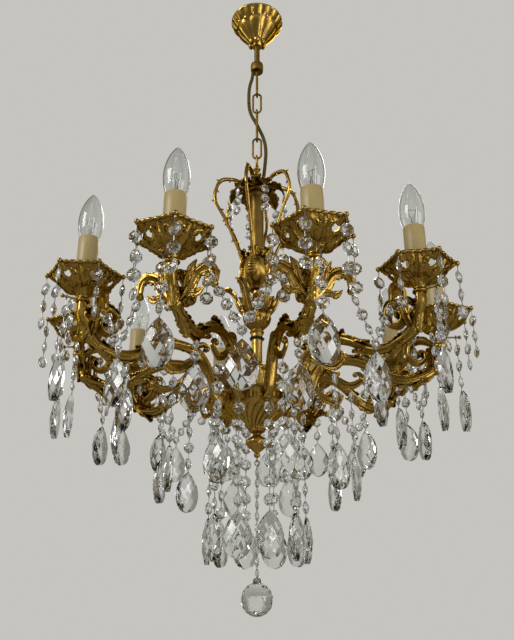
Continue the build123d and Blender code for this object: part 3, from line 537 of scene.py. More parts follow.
# Thorned scroll rods from the crown down to the vase
rodSize = {
    "count": 6, "turn": 20, "points": 90, "thick": 3.7, "thinning": 1.5, "ripple": 0.3,
    # thorns: points of the rod that carry one, its own points out from the rod and along it, its widths
    "thorns": range(14, 84, 8), "thornPoints": ((4.0, 1.5), (6.6, 3.6)), "thornWidths": [2.0, 1.5, 0.4],
    "route": [(17, -378.8), (33.75, -361.8), (63.75, -365.8), (75, -405.8), (54, -438.7), (20, -519.9)],
}
rodLine = roundedLine(flat(rodSize["route"]), rodSize["points"])
rodWidth = rodSize["thick"] - rodSize["thinning"] * np.linspace(0, 1, rodSize["points"]) ** 0.7
rodParts = [bar(rodLine, rodWidth, 10, lambda a, s: rodSize["ripple"] * np.cos(a * 2 + s * 30))]
rodRun, rodAcross, _ = frames(rodLine)
for k, step in enumerate(rodSize["thorns"]):
    root, run = rodLine[step], rodRun[step]
    lean = rodAcross[step] * (1 if k % 2 else -1)
    thorn = [root] + [root + lean * out + run * on for out, on in rodSize["thornPoints"]]
    rodParts.append(bar(thorn, rodSize["thornWidths"], 6))
crownRods = [p for part in rodParts for p in around(part, rodSize["count"], rodSize["turn"])]
place("crownRods", meshOf("crownRods", crownRods, [brass]), "lamp_body", "cast_brass", "crown_scrolls")
print("crown made")

# Vase: three lobes, each with a ribbed shield, and leaves between; drawn small and grown about its middle
vaseSize = {
    "lobes": 3, "turn": 17, "lobeDepth": 2.6, "middle": (0, 0, -528), "growth": (1.27, 1.27, 1.45),
    "body": [(8.2, -505.8), (12, -505.8), (14, -509), (12.5, -513), (17, -516), (21, -522), (22.4, -530),
             (21, -538), (16.5, -545), (11, -549.5), (9, -552.8), (5.2, -552.8)],
    "shield": (19.5, 0, -530), "shieldRadius": 8.6, "shieldShape": (0.72, 0.95, 1.42),
    "ribs": (-9, -6, -3, 0, 3, 6, 9), "ribReach": 26.4, "ribBulge": 0.03, "ribBack": 2.4, "ribHalf": 5.5,
    "ribWidths": [0.7, 1.5, 0.7],
    "tallLeaf": dict(path=[(9, -547), (17, -541), (21.5, -530), (20.5, -519), (24, -510)], width=13,
                     face=(1, 0, 0.3), lobes=4, thick=1.6, cup=-0.1, depth=0.35),
    "neckLeaf": dict(path=[(12.5, -521), (16, -514), (18.5, -508), (24, -507)], width=14,
                     face=(0.8, 0, 0.6), lobes=3, thick=1.5, cup=-0.1, depth=0.35),
}


def vaseWave(angle, share):
    lobe = np.cos(vaseSize["lobes"] * (angle - radians(vaseSize["turn"])))
    return vaseSize["lobeDepth"] * lobe * hump(share, 0.52, 3)


vaseParts = [turned(vaseSize["body"], 60, 72, vaseWave)]
shield = ball(vaseSize["shield"], vaseSize["shieldRadius"], 18, vaseSize["shieldShape"])
vaseParts += around(shield, vaseSize["lobes"], vaseSize["turn"])
for step in vaseSize["ribs"]:
    reach = vaseSize["ribReach"] - vaseSize["ribBulge"] * step * step
    height = vaseSize["shield"][2] + step
    ends = [(reach - vaseSize["ribBack"], y, height) for y in (-vaseSize["ribHalf"], vaseSize["ribHalf"])]
    rib = bar([ends[0], (reach, 0, height), ends[1]], vaseSize["ribWidths"], 6)
    vaseParts += around(rib, vaseSize["lobes"], vaseSize["turn"])
vaseParts += around(leaf(**vaseSize["tallLeaf"]), vaseSize["lobes"], vaseSize["turn"] + 60)
vaseParts += around(leaf(**vaseSize["neckLeaf"]), 2 * vaseSize["lobes"], vaseSize["turn"])
vaseMiddle, vaseGrowth = np.array(vaseSize["middle"]), np.array(vaseSize["growth"])
vaseParts = [((v - vaseMiddle) * vaseGrowth + vaseMiddle, f, s) for v, f, s in vaseParts]
place("vaseBody", meshOf("vaseBody", vaseParts, [brass]), "lamp_body", "cast_brass", "vase")

# Calyx: curling leaves on a gadrooned knob
calyxSize = {
    "leaves": 6, "betweenTurn": 30, "gadroons": 12, "gadroonDepth": 0.9,
    "body": [(5.2, -552.8), (9, -552.8), (9.4, -556), (7.5, -560), (7.2, -575), (10.5, -592), (17, -599),
             (20.8, -608), (20.6, -614), (17, -622), (11.5, -628), (9, -631.5), (11, -634.5), (9.2, -638),
             (9, -643.8), (5.2, -643.8)],
    "rib": [(14, -609), (24, -600), (30.5, -588), (36, -573), (44, -565), (50, -563)], "ribWidths": (3, 1.4),
    "longLeaf": dict(path=[(13, -608), (22, -601), (28.5, -588), (34, -573), (42, -563), (50.5, -561),
                           (50, -566)],
                     width=18, face=(-0.6, 0, 1), lobes=5, thick=2.4, cup=0.12, depth=0.36),
    "innerLeaf": dict(path=[(14, -602), (21, -595), (25, -586), (31, -581)], width=12,
                      face=(-0.6, 0, 1), lobes=3, thick=1.5, cup=0.12, depth=0.36),
    "knobLeaf": dict(path=[(10, -626), (18, -620), (22.6, -611), (22.5, -603)], width=12,
                     face=(1, 0, 0.2), lobes=3, thick=1.2, cup=-0.08, depth=0.3),
}


def calyxWave(angle, share):
    gadroon = np.abs(np.cos(calyxSize["gadroons"] / 2 * angle))
    return calyxSize["gadroonDepth"] * gadroon * hump(share, 0.57, 5)


calyxParts = [turned(calyxSize["body"], 80, 72, calyxWave)]
calyxParts += around(leaf(**calyxSize["longLeaf"]), calyxSize["leaves"])
calyxParts += around(tapered(calyxSize["rib"], 24, *calyxSize["ribWidths"], 8), calyxSize["leaves"])
calyxParts += around(leaf(**calyxSize["innerLeaf"]), calyxSize["leaves"], calyxSize["betweenTurn"])
calyxParts += around(leaf(**calyxSize["knobLeaf"]), calyxSize["leaves"], calyxSize["betweenTurn"])
place("calyxLeaves", meshOf("calyxLeaves", calyxParts, [brass]), "lamp_body", "cast_brass", "calyx")

washerProfile = [(5.2, -643.8), (10.6, -643.8), (11.6, -645.3), (10.6, -646.8), (5.2, -646.8),
                 (5.2, -643.8)]
washerMesh = meshOf("neckWasher", [lathe(washerProfile, 40)], [washerPaint])
place("neckWasher", washerMesh, "lamp_body", "black_washer", "neck_washer")

# Drum: fluted between a beaded collar and the hub's cover
drumSize = {
    "flutes": 16, "fluteDepth": 0.9, "beads": 20, "bead": (19.6, 0, -695), "beadRadius": 1.6,
    "body": [(5.2, -646.8), (8, -646.8), (7.8, -660), (8, -680), (9.5, -687), (16, -690.8), (20, -693),
             (20.2, -697), (17.5, -702), (16.8, -715), (17.4, -724), (22, -730), (26, -734), (33, -735.6),
             (45, -735.8), (46, -737.5), (46, -739.8), (5.2, -739.8)],
}


def drumWave(angle, share):
    flute = np.abs(np.cos(drumSize["flutes"] / 2 * angle))
    return drumSize["fluteDepth"] * flute * ramp(share, 0.42, 10) * ramp(share, 0.78, -10)


drumParts = [turned(drumSize["body"], 90, 96, drumWave)]
drumParts += around(ball(drumSize["bead"], drumSize["beadRadius"], 8), drumSize["beads"])
place("hubDrum", meshOf("hubDrum", drumParts, [brass]), "lamp_body", "cast_brass", "hub_drum")

# Hub: an egg band round the rim, over gadroons that turn as they run down to the foot and shrink with it
hubSize = {
    "gadroons": 20, "gadroonDepth": 7.0, "gadroonSink": 4.6, "twist": 1.5,
    "eggs": 40, "eggDepth": 0.9, "sides": 240,
    "outside": [(46.5, -738.4), (49.4, -738.8), (50.2, -741), (48, -744), (48.4, -751), (49.6, -754),
                (46.5, -757), (41, -760.5), (35, -765), (28.5, -770), (22.5, -775.5), (17, -781),
                (13.4, -785), (12, -787.8), (5.3, -787.8)],
    "inside": [(5.3, -787.8), (5.3, -783.8), (24, -770), (42, -757), (43.5, -738.4), (46.5, -738.4)],
}


def hubWave(angle, share):
    fade = ramp(share, 0.36, 9) * ramp(share, 0.97, -5)
    ridge = np.abs(np.cos(hubSize["gadroons"] / 2 * (angle + hubSize["twist"] * share))) ** 0.5
    gadroon = (hubSize["gadroonDepth"] * ridge - hubSize["gadroonSink"]) * fade * (1.2 - share)
    egg = hubSize["eggDepth"] * np.abs(np.cos(hubSize["eggs"] / 2 * angle)) * hump(share, 0.24, 9)
    return gadroon + egg


hubParts = [turned(hubSize["outside"], 90, hubSize["sides"], hubWave),
            lathe(hubSize["inside"], hubSize["sides"])]
place("hubBowl", meshOf("hubBowl", hubParts, [brass]), "lamp_body", "cast_brass", "hub_bowl")

# Bottom finial with the ring that carries the ball strand
finialSize = {
    "ringHalfWidth": 3.2, "ringHalfHeight": 3.7, "ringMiddle": -830.7, "wire": 0.8,
    "body": [(5.2, -787.8), (11, -787.8), (11.4, -790), (7, -792.5), (5.6, -795.5), (9, -798), (14, -801.5),
             (15.6, -806), (13.8, -811), (9, -816), (4.6, -819.5), (3.4, -821.5), (4.6, -824), (3.4, -827),
             (0, -827.8)],
}
finialRing = []
for a in np.linspace(0, 2 * pi, 24):
    ringHeight = finialSize["ringMiddle"] + finialSize["ringHalfHeight"] * sin(a)
    finialRing.append((0, finialSize["ringHalfWidth"] * cos(a), ringHeight))
finialParts = [turned(finialSize["body"], 60, 40), bar(finialRing, finialSize["wire"], 8)]
finialMesh = meshOf("bottomFinial", finialParts, [brass])
place("bottomFinial", finialMesh, "lamp_body", "cast_brass", "bottom_finial")
print("body made")

# Arms: one swelling cast bar, its tenon in the hub and its peg in the pan
armSize = {
    "route": [(49.3, -750.8), (71.6, -750.8), (91.94, -687.8), (150.7, -681.8), (204.94, -721.8),
              (256.92, -709.8), (275, -671.8), (275, -653.8)],
    "points": 150, "core": 6.2,
    # swells of the bar: place along it, length, height
    "swells": ((0.03, 0.02, 1.6), (0.16, 0.1, 1.9), (0.28, 0.03, 1.4), (0.47, 0.05, 0.9), (0.76, 0.08, 1.1),
               (0.85, 0.03, 1.6), (0.965, 0.03, 0.9)),
    "tenon": [(36, 0, -750.8), (50, 0, -750.8)], "tenonRadius": 4.0,
    "peg": [(275, 0, -655), (275, 0, -631)], "pegRadius": 4.7,
    "flange": [(0, -2.5), (7.6, -2.5), (8.4, 0), (7.6, 2.4), (0, 2.4)], "flangeAt": (52, 0, -750.8),
    # leaves that hug the bar: place along it, length, width, side, rise of the tip, pointing back
    "leaves": ((0.10, 20, 15, 1, 0.2, False), (0.2, 20, 13, -1, 0.3, False),
               (0.40, 22, 16, 1, 0.4, False), (0.52, 26, 16, 1, 0.25, False),
               (0.60, 24, 15, -1, 0.25, True), (0.70, 26, 18, 1, 0.35, False),
               (0.78, 26, 18, -1, 0.3, True), (0.83, 24, 18, 1, 0.5, False),
               (0.90, 24, 17, -1, 0.3, True), (0.93, 14, 16, 1, 0.5, False)),
    # broad leaf sheaths in the plane of the arm, lobed above and below the bar: path, width
    "sheaths": (
        ([(190, -714), (207, -719), (232, -717), (252, -707), (265, -690), (272, -668)], 21),
        ([(104, -688), (124, -684), (146, -682.5), (170, -695), (192, -712)], 16),
        ([(97, -690), (109, -708), (136, -723), (155, -715), (152, -703)], 12),
    ),
    # ridges on both cheeks of the bar: first point, last point, radius
    "ridges": ((10, 50, 2.3), (96, 128, 2.0)), "ridgeSide": 6.2,
}
armLine = roundedLine(flat(armSize["route"]), armSize["points"])
along = np.linspace(0, 1, armSize["points"])
swells = [height * np.exp(-((along - at) / width) ** 2) for at, width, height in armSize["swells"]]
armWidth = armSize["core"] + sum(swells)
armRun, armAcross, armUp = frames(armLine)


def armLeaf(at, length, width, side, rise, back):
    # a leaf that hugs the bar and lifts off it at the tip
    k = int(at * (armSize["points"] - 1))
    run = armRun[k] * (-1 if back else 1)
    out = armAcross[k] if abs(armAcross[k][1]) < 0.5 else armUp[k]
    out = out * (1 if out[2] > 0 else -1) * side
    r, base = armWidth[k] - 0.6, armLine[k]
    path = [base + out * r - run * length * 0.25,
            base + out * (r + 1.0) + run * length * 0.2,
            base + out * (r + 1.5 + rise * length * 0.3) + run * length * 0.6,
            base + out * (r + rise * length) + run * length * 0.85]
    return acanthus(path, width, out, lobes=4, thick=1.6, cup=-0.14, depth=0.36)


branchSize = {
    "x": 260.9, "knot": -701.4, "knotRadius": 8.6, "endRadius": 5.0, "ripple": 0.5,
    "rootWidth": 3.8, "thinWidth": 1.9, "tipWidth": 3.0, "thinning": 36, "thickening": 14,
    "route": [(0, -701.4), (14, -687.4), (28, -663.4), (45, -661.4), (50, -683.4)],
    # leaves: points with x from the branch's plane, width, lobes, cup
    "leaves": (
        ([(0, 2, -701), (1, 14, -687), (2, 26, -667), (2, 40, -660), (1, 50, -666), (0, 53, -680)],
         19, 5, -0.06),
        ([(0, 14, -686), (1, 17, -670), (2, 20, -657), (2, 26, -647)], 11, 2, 0.1),
        ([(0, 9, -693), (2, 20, -691), (3, 30, -692), (3, 38, -685)], 11, 2, 0.1),
    ),
}
armParts = [
    bar(armLine, armWidth, 20, lambda a, s: 0.6 * np.cos(5 * a) + 0.25 * np.cos(2 * a + 30 * s)),
    bar(armSize["tenon"], armSize["tenonRadius"], 14),
    bar(armSize["peg"], armSize["pegRadius"], 14),
    ball((branchSize["x"], 0, branchSize["knot"]), branchSize["knotRadius"], 16, (1, 1.05, 1)),
]
flange = turned(armSize["flange"], 16, 24)
lyingFlange = flange[0][:, [2, 1, 0]]                            # its axis laid along the arm
armParts.append((lyingFlange + np.array(armSize["flangeAt"]), flange[1], 0))
armParts += [armLeaf(*row) for row in armSize["leaves"]]
for route, width in armSize["sheaths"]:
    armParts.append(leaf(route, width=width, face=(0, 1, 0), lobes=6, thick=2.4, cup=0.02, depth=0.4))
for y in (-armSize["ridgeSide"], armSize["ridgeSide"]):
    for first, last, thick in armSize["ridges"]:
        armParts.append(bar(armLine[first:last] + np.array((0, y, 0)), thick, 8))

# Scrolls of the arm: a small one on the hump, a curl under it and a large one below the pan
scrollSize = {
    # each ends in a knob: centre, radius, sides, stretch
    "hump": [(108, -683), (98, -677), (89, -675), (84, -680), (88, -684)], "humpWidths": (5.4, 2.6),
    "humpKnob": ((88, 0, -682), 3.4, 10, (1, 1.6, 1)),
    "curl": [(96, -686), (110, -708.8), (137.1, -722.8), (155.1, -713.8), (150.1, -702.8), (144, -706)],
    "curlWidths": (4.6, 2.2), "curlRipple": 0.35, "curlKnob": ((145, 0, -706.5), 4.0, 12, (1, 1, 1)),
    "large": [(270, -697), (269, -676), (258, -660), (241, -656), (227, -666), (226, -682), (237, -691),
              (248, -685), (247, -675), (240, -674)],
    "largeKnob": ((241, 0, -677), 4.4, 12, (1, 2.4, 1)), "points": 60,
    "ridges": ((-6, 4.4), (0, 6.0), (6, 4.4)),                   # to the side, radius at the root
    "leaf": dict(path=[(275, -684), (266, -664), (252, -652), (236, -650), (222, -660), (219, -676)],
                 width=22, face=(-0.4, 0, 1), lobes=6, thick=1.6, cup=-0.1, depth=0.36),
}
armParts.append(tapered(scrollSize["hump"], 18, *scrollSize["humpWidths"], 10))
armParts.append(ball(*scrollSize["humpKnob"]))
curlLine = roundedLine(flat(scrollSize["curl"]), scrollSize["points"])
curlWidth = np.linspace(*scrollSize["curlWidths"], scrollSize["points"])
armParts.append(bar(curlLine, curlWidth, 10, lambda a, s: scrollSize["curlRipple"] * np.cos(3 * a)))
armParts.append(ball(*scrollSize["curlKnob"]))
scrollLine = smoothLine(flat(scrollSize["large"]), scrollSize["points"])
spread = np.clip(np.linspace(0, 3.2, scrollSize["points"]), 0, 1)    # ridges part as they leave the bar
for y, thick in scrollSize["ridges"]:
    ridge = scrollLine + spread[:, None] * np.array((0, y, 0))
    ridgeWidth = np.linspace(thick, thick / 2, scrollSize["points"]) * (0.4 + 0.6 * spread)
    armParts.append(bar(ridge, ridgeWidth, 10))
armParts.append(ball(*scrollSize["largeKnob"]))
armParts.append(leaf(**scrollSize["leaf"]))

# Leafy branches to both sides of the arm; they thin out and thicken again at the curled tip
thinning = np.linspace(branchSize["rootWidth"], branchSize["thinWidth"], branchSize["thinning"])
thickening = np.linspace(branchSize["thinWidth"], branchSize["tipWidth"], branchSize["thickening"])
branchWidth = np.concatenate([thinning, thickening])
for side in (1, -1):
    corners = [(branchSize["x"], side * y, z) for y, z in branchSize["route"]]
    branchLine = roundedLine(corners, len(branchWidth))
    armParts.append(bar(branchLine, branchWidth, 12, lambda a, s: branchSize["ripple"] * np.cos(3 * a)))
    for points, width, lobes, cup in branchSize["leaves"]:
        midrib = [(branchSize["x"] + x, side * y, z) for x, y, z in points]
        armParts.append(acanthus(midrib, width, (1, 0, 0), lobes, thick=2.2, cup=cup, depth=0.4))
    tipY, tipZ = branchSize["route"][-1]
    armParts.append(ball((branchSize["x"], side * tipY, tipZ), branchSize["endRadius"], 12, (1.1, 1, 1)))
onEachArm("scrolledArm", meshOf("scrolledArm", armParts, [brass]), "cast_brass", own="arm")
print("arms made")

# Drip pans: pierced six-cornered dishes on a boss, with a ball-tipped prong over each window
panSize = {
    "rim": 44.5, "foot": 15.0, "base": -637.2, "height": 22.4, "corners": 6, "cornerDepth": 2.4,
    "rimHeight": -614.8, "knobs": 30, "wall": 1.5, "floor": 1.3, "flutes": 18, "fluteDepth": 1.2,
    "rimWire": 1.2, "knobHeight": 1.4, "bossRipple": 0.7, "relief": 0.7, "sides": 216, "rows": 32,
    "boss": [(4.8, -653.8), (8.6, -653.8), (9.8, -651.5), (7.8, -648.5), (8.4, -645), (10.4, -641.5),
             (14.5, -638.6), (16.6, -637), (15, -635.2), (4.8, -635.2)],
    "prong": [(41, -620), (45, -617.5), (48, -615.6), (51, -615)], "prongWidths": (3.2, 2.0),
    "prongBall": (51, 0, -614.8), "prongBallRadius": 3.5,
    "prongLeaf": dict(path=[(38, -625), (43, -621), (47.5, -617), (52, -615)], width=11,
                      face=(0.6, 0, -0.8), lobes=3, thick=1.4, cup=-0.1, depth=0.35),
    "wideLeaf": dict(path=[(15, -639), (26, -634.5), (35, -627.5), (41, -618)], width=17,
                     face=(0.6, 0, -0.8), lobes=5, thick=1.6, cup=-0.12, depth=0.4),
    "hook": [(8, 0, -650.8), (28, 0, -650.8)], "hookWire": 1.4, "hookBall": 2.8,
}
windowSize = {"at": 0.56, "wide": 6.4, "long": 6.2, "lip": 1.5, "lipAt": 1.45, "lipWidth": 0.3,
              "slant": 37, "turn": 30}
panCoil = {"points": 22, "turn": 1.7 * pi, "aside": 10.5, "middle": -626,
           "halfWidth": 3.8, "halfHeight": 4.6, "closing": (0.34, 0.42), "widths": (1.5, 0.9),
           "standOff": 0.9, "sink": 0.6}


def panRadius(share):
    return panSize["foot"] + (panSize["rim"] - panSize["foot"]) * share**0.75


def piercedDish():
    rows, sides = panSize["rows"], panSize["sides"]
    angle = np.linspace(0, 2 * pi, sides, endpoint=False)[None, :]
    lift = np.linspace(0, 1, rows)[:, None]
    flute = np.abs(np.cos(angle * (panSize["flutes"] / 2)))
    flutes = panSize["fluteDepth"] * flute * np.clip(1 - lift * 2.4, 0, 1)
    corners = panSize["cornerDepth"] * np.cos(panSize["corners"] * angle) * lift**1.5
    radius = panRadius(lift) - corners + flutes
    height = panSize["base"] + panSize["height"] * lift**1.2 + 0 * angle
    fromProng = np.degrees(angle) % 60 - windowSize["turn"]           # a window under each prong
    sidewise = fromProng * radius * pi / 180
    narrow = windowSize["wide"] * (0.55 + 0.8 * lift)
    upwards = (lift - windowSize["at"]) * windowSize["slant"] / windowSize["long"]
    reach = np.hypot(sidewise / narrow, upwards)                      # below 1 inside a window
    # a raised lip round each window, and chased waves between the windows
    swell = windowSize["lip"] * np.exp(-((reach - windowSize["lipAt"]) / windowSize["lipWidth"]) ** 2)
    waves = 0.8 * np.cos(fromProng * 0.62 + lift * 9)
    swell = swell + waves * np.clip(reach - 1.6, 0, 1) * np.clip(3 - 3 * lift, 0, 1)
    radius = radius + panSize["relief"] * swell
    height = height - panSize["relief"] * swell
    outer = np.stack([radius * np.cos(angle), radius * np.sin(angle), height], -1).reshape(-1, 3)
    inner = outer.copy()
    inner[:, :2] *= (1 - panSize["wall"] / radius.reshape(-1))[:, None]
    inner[:, 2] += panSize["floor"]
    isOpen = (reach < 1.0).reshape(-1)
    keep = [f for f in gridFaces(rows, sides, True) if not all(isOpen[i] for i in f)]
    edges = {(a, b) for f in keep for a, b in zip(f, f[1:] + f[:1])}
    n = len(outer)
    back = [[i + n for i in reversed(f)] for f in keep]
    walls = [[b, a, a + n, b + n] for (a, b) in edges if (b, a) not in edges]
    return np.vstack([outer, inner]), keep + back + sorted(walls), 0


def bossWave(angle, share):
    return panSize["bossRipple"] * np.abs(np.cos(panSize["corners"] * angle)) * hump(share, 0.55, 5)


panParts = [piercedDish(), turned(panSize["boss"], 40, 72, bossWave)]
rimAngle = np.linspace(0, 2 * pi, 361)
rimReach = panSize["rim"] - panSize["cornerDepth"] * np.cos(panSize["corners"] * rimAngle)
rimHeight = np.full(len(rimAngle), panSize["rimHeight"])
rimLine = np.stack([rimReach * np.cos(rimAngle), rimReach * np.sin(rimAngle), rimHeight], 1)
rimKnobs = np.abs(np.cos(rimAngle * panSize["knobs"] / 2)) ** 0.5
rimWidth = panSize["rimWire"] + panSize["knobHeight"] * rimKnobs
panParts.append(bar(rimLine, rimWidth, 8))
prongParts = [tapered(panSize["prong"], 12, *panSize["prongWidths"], 10), leaf(**panSize["prongLeaf"]),
              ball(panSize["prongBall"], panSize["prongBallRadius"], 14)]
panParts += [p for part in prongParts for p in around(part, panSize["corners"], windowSize["turn"])]
panParts += around(leaf(**panSize["wideLeaf"]), panSize["corners"])
panParts.append(bar(panSize["hook"], panSize["hookWire"], 8))
panParts.append(ball(panSize["hook"][-1], panSize["hookBall"], 12))
# a pair of C scrolls frames each window
coilTurn = np.linspace(0, panCoil["turn"], panCoil["points"])
coilWide = panCoil["halfWidth"] - panCoil["closing"][0] * coilTurn
coilTall = panCoil["halfHeight"] - panCoil["closing"][1] * coilTurn
coilWidth = np.linspace(*panCoil["widths"], panCoil["points"])
for k in range(panSize["corners"]):
    for side in (1, -1):
        coilSide = side * (panCoil["aside"] - coilWide * np.cos(coilTurn))
        coilUp = panCoil["middle"] + coilTall * np.sin(coilTurn)
        share = ((coilUp - panSize["base"]) / panSize["height"]) ** (1 / 1.2)
        coilOut = np.sqrt((panRadius(share) + panCoil["standOff"]) ** 2 - coilSide**2)
        coil = bar(np.stack([coilOut, coilSide, coilUp - panCoil["sink"]], 1), coilWidth, 6)
        panParts.append(turnedBy(coil, windowSize["turn"] + 60 * k))
panMesh = meshOf("dripPan", [moved(p, x=candleRadius) for p in panParts], [brass])
onEachArm("dripPan", panMesh, "cast_brass", shared="drip_pans")
print("drip pans made")

# Candle sleeves and the lampholders inside them
sleeveSize = {"radius": 14.5, "wall": 1.3, "foot": -636.0, "top": -556.8}
outside, foot, top = sleeveSize["radius"], sleeveSize["foot"], sleeveSize["top"]
bore = outside - sleeveSize["wall"]
sleeveProfile = [(bore, foot), (outside - 0.2, foot), (outside, foot + 0.4), (outside, foot + 30),
                 (outside, foot + 60), (outside, top - 0.7), (outside - 0.3, top - 0.2),
                 (outside - 0.7, top), (bore, top - 0.4), (bore, foot + 50), (bore, foot)]
sleeveMesh = meshOf("candleSleeve", [moved(lathe(sleeveProfile, 48), x=candleRadius)], [sleeveCard])
onEachArm("candleSleeve", sleeveMesh, "sleeve_card", shared="candle_sleeves")

holderProfile = [(5, -634.5), (8, -634.5), (8.4, -622), (11.8, -618), (11.8, -572), (10.8, -568),
                 (7.6, -567.8), (7.4, -570), (7.4, -600), (5, -602), (5, -634.5)]
holderMesh = meshOf("lampHolder", [moved(lathe(holderProfile, 36), x=candleRadius)], [holderPlastic])
onEachArm("lampHolder", holderMesh, "holder_plastic", shared="lampholders")

# Candle bulbs: blown wall, glass stem, cap, two support wires and a filament, from the sleeve's top up
bulbSize = {
    "outside": [(6.4, -8), (9.2, -5), (11.8, -2), (13.8, 3), (15.7, 10), (17.1, 19), (17.5, 27), (16.7, 38),
                (14.6, 47.5), (11.6, 56), (8.2, 63), (4.8, 68.5), (1.8, 72), (0, 73)],
    "wall": 0.6, "tipWall": 0.7,
    "stem": [(5.6, -7.5), (4.2, -3), (2.3, 3), (1.9, 9), (2.6, 12), (1.6, 14.5), (0, 15)],
    "rod": [(0, 0, 14), (0, 0, 20)], "rodRadius": 0.9,
    "cap": [(0, -33), (3.6, -33), (4.4, -30.5), (6.7, -30), (6.7, -8), (6.3, -7.6), (0, -7.6)],
    "support": [(1.2, 0, 12), (3.2, 0, 19), (6.2, 0, 27)], "supportWire": 0.32,
    "filament": (6.2, 2.4, 2.2), "filamentHeight": 27, "filamentWire": 0.3,
}
glassSlot, capSlot, wireSlot = 0, 1, 2
outerWall = smoothLine(bulbSize["outside"], 52)
outerWall[:, 0] = np.maximum(outerWall[:, 0], 0)
innerWall = outerWall[::-1] - np.array((bulbSize["wall"], 0))
innerWall[:, 0] = np.maximum(innerWall[:, 0], 0)
innerWall[0, 1] -= bulbSize["tipWall"]
bulbParts = [
    lathe(np.vstack([outerWall, innerWall, outerWall[:1]]), 40, slot=glassSlot),
    turned(bulbSize["stem"], 24, 20, slot=glassSlot),
    bar(bulbSize["rod"], bulbSize["rodRadius"], 8, slot=glassSlot),
    lathe(bulbSize["cap"], 32, slot=capSlot),
]
for side in (-1, 1):
    support = [(side * x, y, z) for x, y, z in bulbSize["support"]]
    bulbParts.append(bar(support, bulbSize["supportWire"], 6, slot=wireSlot))
bow = np.linspace(0, 2 * pi, 40)
halfSpan, halfDepth, sag = bulbSize["filament"]
filament = np.stack([halfSpan * np.cos(bow / 2), halfDepth * np.sin(bow),
                     bulbSize["filamentHeight"] + sag * np.sin(bow / 2)], 1)
bulbParts.append(bar(filament, bulbSize["filamentWire"], 6, slot=wireSlot))
bulbParts = [moved(p, x=candleRadius, z=sleeveSize["top"]) for p in bulbParts]
bulbMesh = meshOf("candleBulb", bulbParts, [bulbGlass, drawnBrass, tungsten])
onEachArm("candleBulb", bulbMesh, "bulb_glass", own="bulb", moves=True)
print("candles made")

# Crystal: octagon beads and pears on pins, slot 0 for glass and slot 1 for wire
pinSize = {"wire": 0.55, "eyeWire": 0.38, "eye": 1.1, "eyeMiddle": -1.3, "eyeFoot": -2.2, "slot": 1,
           "inBead": 1.2, "inPear": 0.6}
beadSway = {"degrees": 26, "perBead": 2.1, "perStrand": 1.7}


def octagon(size, girdle=0.6):
    # star-cut octagon, hung flat across X, its middle at the origin
    half, r, table = size / 4, size / 2 / cos(pi / 8), 0.3 * size
    rows, faces = [], []
    rings = ((-0.72 * half, table, 0), (-girdle, r, 0.5), (girdle, r, 0.5), (0.72 * half, table, 0))
    for x, rad, shift in rings:
        ang = (np.arange(8) + shift) * pi / 4
        rows.append(np.stack([np.full(8, x), rad * np.cos(ang), rad * np.sin(ang)], 1))
    rows.append([(-half, 0, 0), (half, 0, 0)])
    for i in range(8):
        j = (i + 1) % 8
        faces += [[32, j, i], [i, j, 8 + i], [j, 8 + j, 8 + i], [8 + i, 8 + j, 16 + j, 16 + i]]
        faces += [[24 + i, 16 + i, 24 + j], [24 + j, 16 + i, 16 + j], [33, 24 + i, 24 + j]]
    return np.vstack(rows), faces, 0


def cutStone(planes):
    # a block of glass with everything outside each plane ground away
    bm = bmesh.new()
    bmesh.ops.create_cube(bm, size=200)
    for point, normal in planes:
        cut = bmesh.ops.bisect_plane(bm, geom=bm.verts[:] + bm.edges[:] + bm.faces[:], dist=1e-4,
                                     plane_co=point, plane_no=normal, clear_outer=True)
        ring = [g for g in cut["geom_cut"] if isinstance(g, bmesh.types.BMEdge)]
        if ring:
            bmesh.ops.edgeloop_fill(bm, edges=ring)
    bm.verts.index_update()
    part = np.array([v.co for v in bm.verts]), [[v.index for v in f.verts] for f in bm.faces], 0
    bm.free()
    return part


pearSize = {
    "height": 61.0, "width": 39.0, "front": 8.0, "back": 5.0, "edge": 1.4, "cell": 12.0, "pin": 5.0,
    "belly": 0.54,
    # outline of one side, as shares of the half width and the height
    "side": [(0, 0), (0.42, -0.14), (0.8, -0.33), (1, -0.57), (0.84, -0.8), (0.46, -0.95), (0, -1)],
}


def pearDrop():
    # almond drop, ground on both faces in a net of diamonds, its top point at the origin
    tall, half, edge, cell = pearSize["height"], pearSize["width"] / 2, pearSize["edge"], pearSize["cell"]
    middle = pearSize["belly"] * tall
    right = smoothLine(pearSize["side"], 12) * np.array((half, tall))
    outline = np.vstack([right, right[-2:0:-1] * np.array((-1, 1))])
    planes = []
    for a, b in zip(outline, np.roll(outline, -1, 0)):
        planes.append(((0, *a), (0, -(b - a)[1], (b - a)[0])))
    for face, thick in ((1, pearSize["front"]), (-1, pearSize["back"])):
        curveY, curveZ = (thick - edge) / half**2, (thick - edge) / middle**2
        cellTall = cell * middle / half
        for row in range(-6, 7):
            for col in range(-4, 5):
                y, z = (col + 0.5 * (row % 2)) * cell, row * cellTall / 2
                if (y / half) ** 2 + (z / middle) ** 2 < 1.5:
                    x = thick - curveY * y * y - curveZ * z * z
                    planes.append(((face * x, y, z - middle), (face, 2 * curveY * y, 2 * curveZ * z)))
    return cutStone(planes)


def placedAlong(part, top, heading, outward):
    # local -Z runs along the heading, local X points outward
    h, o = np.array(heading, float), np.array(outward, float)
    z = -h / np.linalg.norm(h)
    x = o - z * (o @ z)
    x /= np.linalg.norm(x)
    m = np.stack([x, np.cross(z, x), z], 1)
    return part[0] @ m.T + np.array(top), part[1], part[2]


